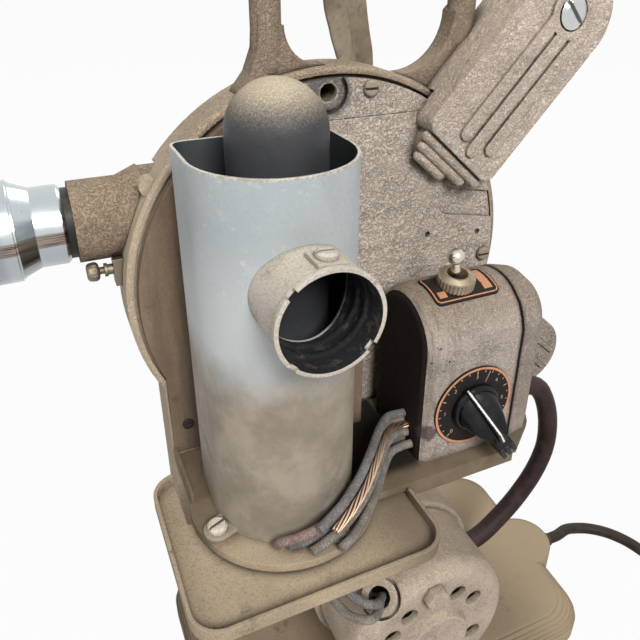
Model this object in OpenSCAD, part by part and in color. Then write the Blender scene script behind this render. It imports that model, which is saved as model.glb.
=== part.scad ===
// Film projector with a round drum housing, a tube lamphouse and a cast base.
// X runs along the lens, which looks to -X. The lamphouse side is -Y and the film side is +Y.
// The origin is the middle of the underside of the base.

/* [Base] */
// Width of the base casting
base_w = 236; // [224:1:250]
// Depth of the base casting
base_d = 136; // [130:1:150]
// Height of the base skirt
skirt_h = 10; // [8:0.5:12]
// Height of the base deck above the table
deck_z = 20; // [18:0.5:22]
// Corner radius of the base
base_r = 20; // [16:1:26]
// Diameter of the rubber pads let into the underside
pad_d = 20; // [14:1:24]
// Radius of the round boss where the mains lead comes out
lobe_r = 19; // [17:0.5:22]

/* [Motor] */
// Diameter of the motor's end bell
motor_d = 92; // [86:1:94]
// How far the motor can stands out past the bell
can_lip = 3; // [1:0.5:3]
// Length of the motor can
can_len = 56; // [52:1:60]
// Length of the cast end bell
bell_len = 42; // [38:1:44]
// Wall of the end bell
bell_wall = 3.5; // [3:0.5:5]
// Diameter of the cooling fan behind the vents
fan_d = 70; // [60:1:74]
// Diameter of a vent hole
vent_d = 9.5; // [7:0.5:10]
// Diameter of the motor shaft
rotor_d = 8; // [6:0.5:9]

/* [Drum] */
// Radius of the drum housing
drum_r = 104; // [102:0.5:106]
// Depth of the drum housing
drum_depth = 22; // [20:0.5:24]
// Radius of the front covers
cover_r = 99; // [96:0.5:100]
// How far the front covers stand out of the rim
cover_t = 3; // [2:0.5:4]
// Width of the groove round the covers
groove_w = 1.6; // [1:0.2:2.4]
// Width of the pedestal under the drum
ped_w = 126; // [120:1:130]
// Depth of the pedestal
ped_d = 24; // [22:1:28]
// Depth of the film recess in the back of the drum
recess = 7; // [5:0.5:8]

/* [Handle and strap] */
// Height of the handle above the table
handle_z = 408; // [400:1:420]
// Thickness of the handle grip
grip_d = 14; // [13:0.5:16]
// Distance between the two legs of the handle
handle_w = 102; // [98:1:106]
// Width of the leather strap
strap_w = 11; // [9:0.5:13]
// Thickness of the leather strap
strap_t = 2.2; // [1.8:0.1:3]

/* [Lens] */
// Outer diameter of the lens barrel
barrel_d = 33; // [30:0.5:34]
// Diameter of the chrome body ring
ring_d = 37; // [36:0.5:38]
// Diameter of the chrome front ring
front_d = 46.5; // [42:0.5:50]
// Length of the front ring
front_len = 20; // [16:1:24]
// Outer diameter of the lens holder
holder_d = 38.5; // [38:0.5:41]
// Length of the lens holder
holder_len = 30; // [26:1:34]
// Focus travel of the lens
focus_travel = 6; // [4:0.5:7]

/* [Lamphouse] */
// Diameter of the lamp tube
tube_d = 68; // [66:0.5:70]
// Height of the lamp tube
tube_h = 171; // [160:1:180]
// Wall of the lamp tube
tube_wall = 1.2; // [1:0.1:2]
// Distance from the tube's axis to its flat back
flat_y = 28; // [26:0.5:30]
// Radius of the two back corners of the lamp tube
tube_corner = 6.5; // [5:0.5:10]
// Diameter of the lamp bulb
bulb_d = 40; // [36:0.5:42]
// Height of the bulb's top above the foot of the tube
bulb_top = 198.5; // [190:0.5:210]
// Height of the lamp's light centre above the foot of the tube
beam_h = 125; // [118:1:130]
// Outer diameter of the side collar on the tube
collar_d = 41.4; // [38:0.2:44]
// How far the side collar reaches from the tube's axis
collar_reach = 56; // [52:1:60]
// Radius of the round lamp flange
flange_r = 46; // [42:1:48]
// Thickness of the lamp flange
flange_t = 4; // [3:0.5:5]
// Width of the tray
tray_w = 118; // [112:1:122]
// Depth of the tray
tray_d = 94; // [88:1:98]
// Corner radius of the tray
tray_r = 14; // [10:1:18]
// Height of the tray's rim
tray_rim = 6.5; // [5:0.5:7]

/* [Control box] */
// Length of the control box
box_w = 55; // [50:1:60]
// Radius of the vaulted top of the box
vault_r = 26; // [24:0.5:27]
// Height of the box from its shelf to the middle of the vault
box_leg = 70; // [66:1:74]
// Length of the rounded end cap
cap_w = 21.5; // [19:0.5:24]
// Diameter of the dial
dial_d = 46; // [40:1:48]
// Diameter of the knurled switch nut
nut_d = 19; // [17:0.5:22]
// Swing of the switch lever from one side to the other
throw_deg = 26; // [20:1:28]

/* [Reel arm] */
// Width of the arm bracket
arm_w = 52; // [48:1:54]
// Thickness of the arm bracket
arm_t = 30; // [26:1:32]
// Length of the bracket from its lower end to the pivot
arm_len = 87; // [84:1:92]
// Angle of the bracket above the table
arm_angle = 48; // [46:1:50]
// Length of the folding arm from pivot to spindle
fold_len = 78; // [72:1:84]
// Diameter of the reel spindle
spindle_d = 7.9; // [7.5:0.1:8]

/* [Take-up arm] */
// Width of the take-up arm
take_w = 50; // [46:1:52]
// Thickness of the take-up arm
take_t = 16; // [14:0.5:18]
// Angle of the take-up arm below the horizontal
take_angle = 42; // [38:1:46]

/* [Film side] */
// Diameter of the fluted hand knob
hand_d = 42; // [36:1:50]
// Thickness of the hand knob
hand_t = 16; // [12:1:22]
// Diameter of the film sprockets
sprocket_d = 29; // [27:0.5:31]
// Width of the film
film_w = 16; // [15.5:0.5:16.5]
// Diameter of the guide rollers
roller_d = 10; // [8:0.5:10.5]
// Diameter of the drive shafts
shaft_d = 6; // [5:0.5:7]

/* [Cords] */
// Diameter of the mains lead
cord_d = 7.5; // [7:0.1:7.6]
// Diameter of the motor cable
cable_d = 11.5; // [10:0.5:12]
// Diameter of the coil at the middle of its turns
coil_d = 86; // [85:0.5:88]

/* [Hidden] */
$fn = 64;
// Screw shanks and their holes
shank_d = 4;
hole_d = 4.2;
// Running clearance on a radius and gap left between faces that move past each other
run = 0.05;
gap = 0.3;
// Drum and pedestal
drum_x = -18;
drum_z = 237.5;
face_y = 32;
back_y = face_y + drum_depth;
floor_y = back_y - recess;
ped_x0 = -110;
ped_y1 = back_y;
ped_y0 = ped_y1 - ped_d;
// Lamphouse
tube_x = -66;
tube_y = -16;
foot_z = 150;
foot_screw = tube_d / 2 + 5.2;
// The lamp leans a little off the tube's axis
lamp_x = tube_x + 2;
lamp_y = tube_y - 1;
beam_z = foot_z + beam_h;
shelf_z = foot_z - flange_t;
tray_z = 142.8;
tray_x0 = tube_x - 60;
tray_y0 = tube_y - 62;
// Lens
lens_y = 60;
lens_z = beam_z;
holder_x0 = -138;
lens_x1 = holder_x0 - focus_travel / 2 - gap;
ring_len = 13.2;
taper_len = 7.5;
front_x1 = lens_x1 - ring_len - taper_len;
// Control box
box_x0 = 4;
box_x1 = box_x0 + box_w;
vault_y = -5;
vault_z = foot_z - 6 + box_leg;
box_front = vault_y - vault_r;
cap_x1 = box_x1 + gap + cap_w;
dial_x = box_x0 + box_w - 26;
dial_z = vault_z - 34;
switch_x = box_x0 + 26;
switch_tilt = 11;
switch_lean = -throw_deg / 2;
// Take-up arm
take_x = 128;
take_z = 145;
take_y0 = face_y + 2;
// Hand knob on the film side
hand_x = 22;
hand_z = drum_z;
// Motor
motor_x = -4;
motor_z = deck_z + 3 + motor_d / 2;
can_y1 = ped_y0;
can_y0 = can_y1 - can_len;
can_d = motor_d + 2 * can_lip;
bell_y0 = can_y0 - bell_len;
// Handle
handle_x = 5;
handle_y = 42;
// Arm
arm_x = 42.8;
arm_z = 296.4;
arm_y0 = 14.5;
pivot_x = arm_x + arm_len * cos(arm_angle);
pivot_z = arm_z + arm_len * sin(arm_angle);
fold_angle = 69;
fold_t = 10;
journal_d = 10;
seat_len = 24;
fold_y0 = arm_y0 + arm_t + gap;
// Film side
gate_x = -92;
sprocket_x = -58;
sprocket_up = 305;
sprocket_low = 215;
film_y = lens_y;
// Mains lead: hand-chosen route from the lobe to the start of the coil
lobe_x = base_w / 2 - 6.5;
lobe_y = -7;
lead_z = 9;
lead_x = lobe_x + lobe_r + 6;
lead_low = cord_d / 2 + 0.25;
cord_route = [[lead_x, lobe_y, lead_z], [lead_x + 9, lobe_y, lead_z], [155, -5, 8], [165, -5, 5],
    [175, -9, lead_low], [184, -17, lead_low], [191, -28, lead_low], [195, -41, lead_low],
    [197, -55, lead_low], [197, -70, lead_low], [197, -80, lead_low]];
// Motor cable: hand-chosen route from the end cap to the motor can
cable_route = [[cap_x1, -8, 160], [cap_x1 + 10, -8, 160], [101, -7.5, 153], [109, -7.5, 139],
    [113.5, -8, 122], [114, -8.5, 104], [108, -9, 86], [97, -9.5, 70], [84, -10, 57.5],
    [70, -11, 49], [57, -11, 45.5], [45, -11, 45.5]];
// Lamp wires: hand-chosen routes of five short cloth-covered wires
wire_d = 4.4;
wire_x = box_x0 - 0.1;
wire_a = [[wire_x, -12, 166], [-1, -12, 166.5], [-9, -16, 169], [-20, -28, 170], [-31, -41, 168],
    [-45, -51.5, 165], [-60, -56.5, 163], [-73, -57, 161], [-80, -54, 158], [-82, -51, 154]];
wire_b = [[wire_x, -17, 161.5], [-1, -17, 162], [-10, -22, 164.5], [-21, -33, 165.5],
    [-32, -44.5, 163.5], [-46, -54.5, 160.5], [-60, -60.5, 158], [-70, -62.5, 156]];
wire_c = [[wire_x, -9, 160.5], [-1, -9, 160.5], [-9, -12, 163], [-19, -23, 165], [-29.5, -35, 163],
    [-42, -46.5, 160], [-57, -53.5, 157.5], [-69, -55, 155], [-77, -52.5, 153]];
wire_d_route = [[wire_x, -21.5, 157], [-2, -21.5, 157], [-11, -25.5, 159], [-22, -37, 160.5],
    [-33, -49, 158.5], [-47, -60, 156], [-57, -64.5, 154]];
wire_e = [[wire_x, -14, 155.5], [-1, -14, 155.5], [-10, -18, 157.5], [-20, -29.5, 158.5],
    [-30, -40.5, 156.5], [-37, -46.5, 154.5], [-42.5, -50, 152.7]];
// Coil: two layers of turns that spiral in and out again
coil_turns = 19 / 6;
coil_pitch = cord_d + 0.7;
coil_rise = cord_d + 0.6;
coil_rings = 24;
coil_sides = 6;
coil_in = coil_d / 2 - coil_pitch * coil_turns / 2;
coil_x = 197;
coil_y = -90;
coil_cx = coil_x + coil_in + coil_pitch * coil_turns;
coil_z = lead_low;
plug_run = 24;

// Points on an arc in the plane of a profile
function arc(c, r, a0, a1, n = 12) =
    [for (i = [0 : n]) let (a = a0 + (a1 - a0) * i / n) [c[0] + r * cos(a), c[1] + r * sin(a)]];

// Point list of a tube swept along a route, n points a ring; no part of the route runs along up
function unit(v) = v / norm(v);
function tangent(p, i) = unit(p[min(i + 1, len(p) - 1)] - p[max(i - 1, 0)]);
function ring(p, t, r, n, up) = let (a = unit(cross(t, up)), b = cross(a, t))
    [for (k = [0 : n - 1]) p + r * (a * cos(360 * k / n) + b * sin(360 * k / n))];
function tube_points(path, r, n, up) =
    [for (i = [0 : len(path) - 1]) each ring(path[i], tangent(path, i), r, n, up)];
function tube_faces(m, n) = concat(
    [[for (k = [0 : n - 1]) k]],
    [for (i = [0 : m - 2], k = [0 : n - 1]) let (a = i * n + k, b = i * n + (k + 1) % n)
        [a, a + n, b + n]],
    [for (i = [0 : m - 2], k = [0 : n - 1]) let (a = i * n + k, b = i * n + (k + 1) % n)
        [a, b + n, b]],
    [[for (k = [0 : n - 1]) (m - 1) * n + n - 1 - k]]);
module tube(path, d, n = 8, up = [0, 0, 1]) {
    polyhedron(tube_points(path, d / 2, n, up), tube_faces(len(path), n), convexity = 10);
}
// Smooth curve through a route: two steps of corner cutting that keep the ends
function cut(p) = concat([p[0]],
    [for (i = [0 : len(p) - 2]) each [0.75 * p[i] + 0.25 * p[i + 1], 0.25 * p[i] + 0.75 * p[i + 1]]],
    [p[len(p) - 1]]);

// Placing: along +X, along +Y, along -Y
module along_x(p) translate(p) rotate([0, 90, 0]) children();
module along_y(p) translate(p) rotate([-90, 0, 0]) children();
module toward_lamp(p) translate(p) rotate([90, 0, 0]) children();
// A flat outline drawn in X and Z, thick along +Y from y
module slab(y, t) translate([0, y + t, 0]) rotate([90, 0, 0]) linear_extrude(t) children();
module round_rect(w, d, r) {
    translate([r, 0]) square([w - 2 * r, d]);
    translate([0, r]) square([w, d - 2 * r]);
    for (x = [r, w - r], y = [r, d - r]) translate([x, y]) circle(r);
}
// Slotted cheese-head screw, head towards +Z, on the plane z = 0
module slot_screw(d, h, shank = 3) {
    difference() {
        union() {
            cylinder(d = d, h = h * 0.7);
            translate([0, 0, h * 0.7]) cylinder(d1 = d, d2 = d * 0.75, h = h * 0.3);
        }
        translate([-d, -d * 0.07, h * 0.55]) cube([2 * d, d * 0.14, h]);
    }
    translate([0, 0, -shank]) cylinder(d = shank_d, h = shank + 0.01);
}

// Base
function base_outline(inset) = let (w = base_w / 2 - inset, d = base_d / 2 - inset, r = base_r)
    concat(arc([-w + r, d - r], r, 180, 90), arc([w - r + 4, d - r], r, 90, 0),
        arc([w - r - 2, -d + r], r, 0, -90), arc([-w + r, -d + r], r, -90, -180));
base_steps = [[0, 0], [0.5, skirt_h], [1.4, skirt_h + 2], [2.6, skirt_h + 4], [4.2, skirt_h + 6],
    [6, skirt_h + 7.5], [8.5, deck_z - 1], [8.5, deck_z - 0.01]];
module base_casting() {
    color("tan") difference() {
        union() {
            // Skirt whose top edge rounds over in steps, as [inset, height]
            for (i = [0 : len(base_steps) - 2]) translate([0, 0, base_steps[i][1]])
                linear_extrude(base_steps[i + 1][1] - base_steps[i][1] + 0.01)
                    polygon(base_outline(base_steps[i][0]));
            translate([lobe_x, lobe_y, 0]) cylinder(r = lobe_r, h = deck_z);
            // Saddle under the motor
            translate([motor_x - 24, can_y0 + 6, deck_z - 1]) cube([48, can_len - 12, 10]);
            // Foot of the pedestal
            translate([ped_x0 - 3, ped_y0 - 3, deck_z - 1]) cube([ped_w + 6, ped_d + 6, 6]);
        }
        along_y([motor_x, can_y0, motor_z]) cylinder(d = can_d + 2 * gap, h = can_len);
        translate([ped_x0 - gap, ped_y0 - gap, deck_z])
            cube([ped_w + 2 * gap, ped_d + 2 * gap, 10]);
        for (x = [-1, 1], y = [-1, 1])
            translate([x * (base_w / 2 - 26), y * (base_d / 2 - 24), -1]) cylinder(d = pad_d, h = 4);
        // Lead hole
        along_x([lobe_x - 20, lobe_y, lead_z]) cylinder(d = 12.2, h = 60);
    }
}
module rubber_pads() {
    color("dimgray") for (x = [-1, 1], y = [-1, 1])
        translate([x * (base_w / 2 - 26), y * (base_d / 2 - 24), 0]) cylinder(d = pad_d - 0.2, h = 3);
}

// Motor
vent_ring = 28;
vent_at = [for (a = [0 : 90 : 270], b = [-14.5, 14.5]) 50 + a + b];
bolt_at = [95, 275];
brush_turn = 110;
cable_x = cable_route[11][0];
cable_y = cable_route[11][1];
cable_z = cable_route[11][2];
bolt_ring = motor_d / 2 - 13;
module bell_profile(t) {
    r = motor_d / 2 - t;
    polygon(concat([[0, 0], [r, 0]], arc([r - 9, bell_len - t - 9], 9, 0, 90, 6),
        [[0, bell_len - t]]));
}
module motor_can() {
    color("tan") difference() {
        union() {
            along_y([motor_x, can_y0 + gap, motor_z]) cylinder(d = can_d, h = can_len - 2 * gap);
            along_x([motor_x, cable_y, cable_z]) cylinder(d = 16, h = cable_x - motor_x);
        }
        along_y([motor_x, can_y0 - 1, motor_z]) cylinder(d = motor_d - 14, h = 12);
        along_y([motor_x, can_y0 - 1, motor_z]) cylinder(d = rotor_d + 2 * run, h = can_len - 6);
    }
}
// Seats of the grommet and the brush cap, axis out of the bell
module at_grommet() translate([motor_x, can_y0 - 2, motor_z]) rotate([35, -40, 0])
    translate([0, 0, motor_d / 2 + 7.5]) children();
module at_brush() translate([motor_x, bell_y0 + 19, motor_z]) rotate([0, brush_turn, 0])
    translate([0, 0, motor_d / 2 + 1]) children();
module motor_bell() {
    color("tan") difference() {
        union() {
            toward_lamp([motor_x, can_y0, motor_z]) rotate_extrude() bell_profile(0);
            toward_lamp([motor_x, bell_y0 + 2, motor_z]) cylinder(d1 = 40, d2 = 34, h = 7);
            // Boss of the wire grommet, high on the left
            at_grommet() translate([0, 0, -10]) cylinder(d = 21, h = 10);
            at_brush() translate([0, 0, -8]) cylinder(d = 14, h = 8);
        }
        toward_lamp([motor_x, can_y0 + 0.01, motor_z]) rotate_extrude() bell_profile(bell_wall);
        toward_lamp([motor_x, bell_y0 + 10, motor_z]) cylinder(d = rotor_d + 2 * run, h = 13);
        for (a = vent_at)
            toward_lamp([motor_x + vent_ring * cos(a), bell_y0 + 10, motor_z + vent_ring * sin(a)])
                cylinder(d = vent_d, h = 20);
        for (a = bolt_at)
            toward_lamp([motor_x + bolt_ring * cos(a), bell_y0 + 10, motor_z + bolt_ring * sin(a)])
                cylinder(d = 5.2, h = 20);
        at_grommet() translate([0, 0, -18]) cylinder(d = 14, h = 30);
        at_grommet() cylinder(d = 21, h = 12);
        at_brush() translate([0, 0, -18]) cylinder(d = 7.2, h = 30);
    }
}
module motor_bolts() {
    color("silver") {
        for (a = bolt_at)
            toward_lamp([motor_x + bolt_ring * cos(a), bell_y0, motor_z + bolt_ring * sin(a)]) {
                cylinder(d = 13, h = 5, $fn = 6);
                translate([0, 0, -8]) cylinder(d = 5, h = 8.01);
            }
        at_brush() {
            slot_screw(10, 4.5, 0);
            translate([0, 0, -7]) cylinder(d = 7, h = 7.01);
        }
    }
}
module motor_grommet() {
    color("dimgray") at_grommet() difference() {
        union() {
            cylinder(d = 18, h = 2.5);
            translate([0, 0, -6]) cylinder(d = 13.8, h = 6.01);
        }
        translate([0, 0, -7]) cylinder(d = 10.5, h = 12);
    }
}
module motor_rotor() {
    color("gray") {
        toward_lamp([motor_x, can_y0 + 30, motor_z]) cylinder(d = rotor_d, h = 30 + bell_len + 2.5);
        // Cooling fan seen through the vents
        toward_lamp([motor_x, can_y0 - 5, motor_z]) {
            cylinder(d = 20, h = 12);
            for (a = [0 : 30 : 330]) rotate(a) translate([8, -1, 0]) cube([fan_d / 2 - 8, 2, 12]);
        }
    }
}

// Drum housing with its pedestal and the bracket under the shelf
module drum_housing() {
    color("tan") difference() {
        union() {
            along_y([drum_x, face_y + 1.5, drum_z])
                cylinder(r = drum_r, h = drum_depth - 1.5, $fn = 96);
            along_y([drum_x, face_y, drum_z])
                cylinder(r1 = drum_r - 1.5, r2 = drum_r, h = 1.51, $fn = 96);
            translate([ped_x0, ped_y0, deck_z]) cube([ped_w, ped_d, foot_z - deck_z]);
            // Left column that carries the lower edge of the left cover
            translate([ped_x0, face_y, foot_z - 1]) cube([70, drum_depth, 50]);
            // Bracket under the shelf
            translate([-36, ped_y0 - 34, shelf_z - 14]) cube([96, 35, 14]);
            // Ear on the rim above the lens holder
            along_y([-105, face_y + 4, 295]) cylinder(d = 9, h = 6);
        }
        // Groove round the covers
        along_y([drum_x, face_y - 1, drum_z]) difference() {
            cylinder(r = cover_r + groove_w, h = 4, $fn = 96);
            translate([0, 0, -1]) cylinder(r = cover_r, h = 6, $fn = 96);
        }
        // Film recess, open to the left for the lens
        along_y([drum_x, floor_y, drum_z]) cylinder(r = drum_r - 5, h = 20, $fn = 96);
        translate([-140, floor_y, lens_z - 27]) cube([60, 20, 54]);
        along_x([-140, lens_y, lens_z]) cylinder(d = barrel_d + 2, h = 50);
        // Beam passage, shafts, plug hole and cover screws
        along_y([tube_x, face_y - 1, beam_z]) cylinder(d = 30.4, h = 8);
        along_y([tube_x, face_y - 1, beam_z]) cylinder(d = 20, h = 40);
        along_y([plug_hole[0], face_y - 1, plug_hole[1]]) cylinder(d = 8.5, h = 14);
        for (p = cover_screw_at) along_y([p[0], face_y - 1, p[1]]) cylinder(d = hole_d, h = 8);
        for (z = [sprocket_up, sprocket_low])
            along_y([sprocket_x, floor_y - 12, z]) cylinder(d = shaft_d + 2 * run, h = 20);
        along_y([hand_x, floor_y - 10, hand_z]) cylinder(d = shaft_d + 2 * run, h = 20);
    }
}
cover_screw_at = [[0, 331], [76, 232], [-101, 168]];
plug_hole = [-21.5, 330.5];
// Round front cover on the right, cut level at the seam and clear of the control box
seam_z = 318;
module cover_disc(r, t) along_y([drum_x, face_y - t, drum_z]) cylinder(r = r, h = t, $fn = 96);
module round_cover() {
    color("rosybrown") difference() {
        intersection() {
            cover_disc(cover_r, cover_t);
            translate([tube_x + 22, 0, foot_z + 1]) cube([200, 60, seam_z - gap - foot_z - 1]);
        }
        // Recessed pocket under the arm, round at its left end
        slab(face_y - cover_t - 1, 3) hull() {
            translate([51, 267]) circle(7.5);
            translate([90, 259]) circle(7.5);
        }
        for (p = [[38, 250], [71, 246]]) along_y([p[0], face_y - 8, p[1]]) cylinder(d = 3.2, h = 12);
        along_y([cover_screw_at[1][0], face_y - 9, cover_screw_at[1][1]])
            cylinder(d = hole_d, h = 12);
    }
}
module top_cover() {
    color("rosybrown") difference() {
        intersection() {
            cover_disc(cover_r, cover_t);
            translate([tube_x + 22, 0, seam_z]) cube([150, 60, 40]);
        }
        along_y([cover_screw_at[0][0], face_y - 9, cover_screw_at[0][1]])
            cylinder(d = hole_d, h = 12);
        // U-shaped slot round the plug hole
        along_y([plug_hole[0], face_y - 8, plug_hole[1]]) difference() {
            cylinder(r = 10, h = 12);
            translate([0, 0, -1]) cylinder(r = 7.8, h = 14);
            translate([-20, -30, -1]) cube([18, 60, 14]);
        }
        along_y([plug_hole[0], face_y - 8, plug_hole[1]]) cylinder(d = 8.5, h = 12);
    }
}
// Dished cover on the left, behind the lamphouse
module left_cover() {
    color("tan") difference() {
        union() {
            intersection() {
                cover_disc(cover_r, cover_t + 1);
                translate([-140, 0, 190]) cube([95.7, 60, 200]);
            }
            translate([ped_x0 + 1, face_y - cover_t - 1, foot_z + 1])
                cube([tube_x + 21.7 - ped_x0 - 1, cover_t + 1, 55]);
        }
        along_y([cover_screw_at[2][0], face_y - 9, cover_screw_at[2][1]])
            cylinder(d = hole_d, h = 12);
        along_y([tube_x, face_y - 9, beam_z]) cylinder(d = 31, h = 12);
    }
}
module cover_screws() {
    color("silver") {
        toward_lamp([cover_screw_at[0][0], face_y - cover_t, cover_screw_at[0][1]])
            slot_screw(7.6, 2.6, 6);
        toward_lamp([cover_screw_at[1][0], face_y - cover_t, cover_screw_at[1][1]])
            slot_screw(8, 3, 6);
        toward_lamp([cover_screw_at[2][0], face_y - cover_t - 1, cover_screw_at[2][1]])
            slot_screw(6, 1, 6);
    }
}

// Take-up arm: a cast stub with ridges that points down to the right
module takeup_arm() {
    color("tan") difference() {
        translate([take_x, 0, take_z]) rotate([0, take_angle, 0]) union() {
            slab(take_y0, take_t) union() {
                circle(d = take_w);
                translate([-100, -take_w / 2]) square([100, take_w]);
            }
            for (z = [-12, 0, 12]) slab(take_y0 - 1.5, 1.6) translate([-60, z - 1.5])
                square([60 + sqrt(take_w * take_w / 4 - z * z) - 4, 3]);
        }
        along_y([drum_x, 0, drum_z]) cylinder(r = drum_r + gap, h = 100, $fn = 96);
        along_y([take_x, take_y0 + 3, take_z]) cylinder(d = journal_d + 2 * run, h = take_t);
    }
}
// Journal in the arm, flange, reel seat and a slimmer slotted tip that holds the folded latch
module spindle(x, y, z, y_flange) {
    along_y([x, y, z]) cylinder(d = journal_d, h = y_flange + 1 - y);
    along_y([x, y_flange, z]) cylinder(d = 24, h = 3);
    along_y([x, y_flange + 2.9, z]) cylinder(d = spindle_d, h = seat_len + 0.1);
    difference() {
        along_y([x, y_flange + 3 + seat_len - 0.1, z]) cylinder(d1 = 7, d2 = 6, h = 8);
        translate([x - 0.9, y_flange + 4 + seat_len, z - 5]) cube([1.8, 10, 10]);
    }
    translate([x - 0.6, y_flange + 3 + seat_len, z - 2]) cube([1.2, 8, 4]);
}
module takeup_spindle() {
    color("silver") spindle(take_x, take_y0 + 4, take_z, take_y0 + take_t + gap);
}
// Fluted knob that turns the film drive by hand
module hand_knob() {
    color("black") {
        difference() {
            along_y([hand_x, back_y + 4, hand_z]) cylinder(d = hand_d, h = hand_t);
            for (a = [0 : 20 : 340]) along_y([hand_x + (hand_d / 2 + 1.2) * cos(a), back_y + 3,
                hand_z + (hand_d / 2 + 1.2) * sin(a)]) cylinder(d = 5, h = hand_t + 2, $fn = 16);
        }
        along_y([hand_x, floor_y + 0.5, hand_z]) cylinder(d = 14, h = recess + 5);
        along_y([hand_x, floor_y - 9, hand_z]) cylinder(d = shaft_d, h = 12);
    }
}

// Handle: a cast arch whose legs flare into the drum
handle_x0 = handle_x - handle_w / 2;
handle_x1 = handle_x + handle_w / 2;
module handle() {
    top = handle_z - grip_d / 2;
    spine = concat([[handle_x0, 343], [handle_x0, 366]],
        arc([handle_x0 + 28, top - 27.6], 28, 180, 100, 4), arc([handle_x1 - 28, top - 27.6], 28, 80, 0, 4),
        [[handle_x1, 362], [handle_x1, 334]]);
    color("tan") difference() {
        union() {
            for (i = [0 : len(spine) - 2]) hull() {
                translate([spine[i][0], handle_y, spine[i][1]]) sphere(d = grip_d, $fn = 20);
                translate([spine[i + 1][0], handle_y, spine[i + 1][1]]) sphere(d = grip_d, $fn = 20);
            }
            // Feet that flare into the drum's rim
            slab(handle_y - grip_d / 2 + 1.5, grip_d - 3) {
                polygon(concat([[handle_x0 - 5, 364], [handle_x0 - 6, 350], [-56, 340], [-64, 330],
                    [-60, 310], [-12, 320], [-12, 341]], arc([-22, 359.5], 17.5, 270, 180, 10)));
                polygon(concat([[0, 320], [60, 290], [handle_x1 + 9, 330], [handle_x1 + 5, 352],
                    [handle_x1 - 5, 364]], arc([21.5, 362], 27.5, 0, -98, 12)));
            }
        }
        along_y([drum_x, 0, drum_z]) cylinder(r = drum_r + gap, h = 100, $fn = 96);
        on_arm(arm_x, arm_z, arm_angle) slab(arm_y0 - 1, arm_t + 1)
            translate([-20, -arm_w / 2 - gap]) square([arm_len + 60, arm_w + 2 * gap]);
    }
}
// Leather strap looped over the grip
module strap() {
    color("darkkhaki") translate([-13, handle_y, handle_z - grip_d / 2]) rotate([strap_back, -18, 0])
        translate([strap_w / 2, 0, 0]) rotate([0, -90, 0]) linear_extrude(strap_w) difference() {
            strap_outline(strap_t);
            strap_outline(0);
        }
}
// Loop in the plane of the strap: round over the grip, flat further down
strap_slack = 2.2;
strap_back = 22;
strap_len = 78;
module strap_outline(t) {
    r = grip_d / 2 + strap_slack + t;
    circle(r);
    polygon([[0, -r], [0, r], [-40, 7 + t], [-strap_len + 8, 5 + t], [-strap_len - t, 2 + t],
        [-strap_len - t, -2 - t], [-strap_len + 8, -5 - t], [-40, -7 - t]]);
}

// Arm bracket: a block, round at the pivot, with three raised strips on its front
strip_at = [[5.5, 11], [-3.5, 7], [-12.5, 14]];
module on_arm(x, z, a) translate([x, 0, z]) rotate([0, -a, 0]) children();
module arm_bracket() {
    color("tan") on_arm(arm_x, arm_z, arm_angle) difference() {
        union() {
            slab(arm_y0, arm_t) {
                translate([0, -arm_w / 2]) round_rect(arm_len, arm_w, 6);
                translate([arm_len, 0]) circle(d = arm_w);
            }
            for (p = strip_at) slab(arm_y0 - 1.5, 1.6) {
                translate([p[1], p[0] - 3.6]) square([arm_len - p[1], 7.2]);
                translate([p[1], p[0]]) circle(3.6);
            }
            along_y([arm_len, arm_y0 - 1.5, 0]) cylinder(d = 25, h = 3);
            // Three rounded ribs under the lower end, each shorter than the last
            for (r = [[-2.2, 5, -22, 19], [-6.8, 7, -15, 16], [-11.2, 9, -4, 13]]) hull() {
                translate([r[0], arm_y0 + r[1], r[2]]) sphere(d = 6, $fn = 20);
                translate([r[0], arm_y0 + r[1], r[3]]) sphere(d = 6, $fn = 20);
            }
            slab(arm_y0 + 8, arm_t - 8 - 6) polygon([[1, -22], [1, 19], [-4, 19], [-12, 13],
                [-12, -4], [-4, -22]]);
        }
        along_y([arm_len, arm_y0 - 5, 0]) cylinder(d = 10 + 2 * run, h = arm_t + 8);
        along_y([arm_len, arm_y0 - 5, 0]) cylinder(d = 17, h = 6);
        // Cleared behind for the drum's face and rim
        rotate([0, arm_angle, 0]) translate([-arm_x, 0, -arm_z]) along_y([drum_x, face_y - cover_t, drum_z])
            cylinder(r = drum_r + gap, h = 40, $fn = 96);
    }
}
module arm_pivot_screw() {
    color("silver") translate([pivot_x, arm_y0 + 1, pivot_z]) rotate([90, arm_angle, 0])
        slot_screw(15.5, 4, 0);
}
module reel_arm() {
    color("tan") on_arm(pivot_x, pivot_z, fold_angle) {
        difference() {
            union() {
                slab(fold_y0, fold_t) union() {
                    circle(d = 42);
                    translate([0, -17]) square([fold_len - 6, 34]);
                    translate([fold_len - 6, 0]) circle(d = 34);
                }
                slab(fold_y0 + fold_t - 0.01, 3) translate([12, -5]) square([fold_len - 30, 10]);
            }
            along_y([fold_len, fold_y0 - 1, 0]) cylinder(d = journal_d + 2 * run, h = fold_t + 10);
        }
        // Pivot pin through the bracket
        along_y([0, arm_y0 + 1.5, 0]) cylinder(d = 10, h = fold_y0 - arm_y0);
    }
}
spin_x = pivot_x + fold_len * cos(fold_angle);
spin_z = pivot_z + fold_len * sin(fold_angle);
module reel_spindle() {
    color("silver") {
        spindle(spin_x, fold_y0 - 2, spin_z, fold_y0 + fold_t + 3.5);
        // Pulley on the inner side
        along_y([spin_x, fold_y0 - 9, spin_z]) difference() {
            cylinder(d = 30, h = 8.5);
            translate([0, 0, 4.25]) rotate_extrude() translate([16, 0]) circle(3, $fn = 24);
        }
    }
}

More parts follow.
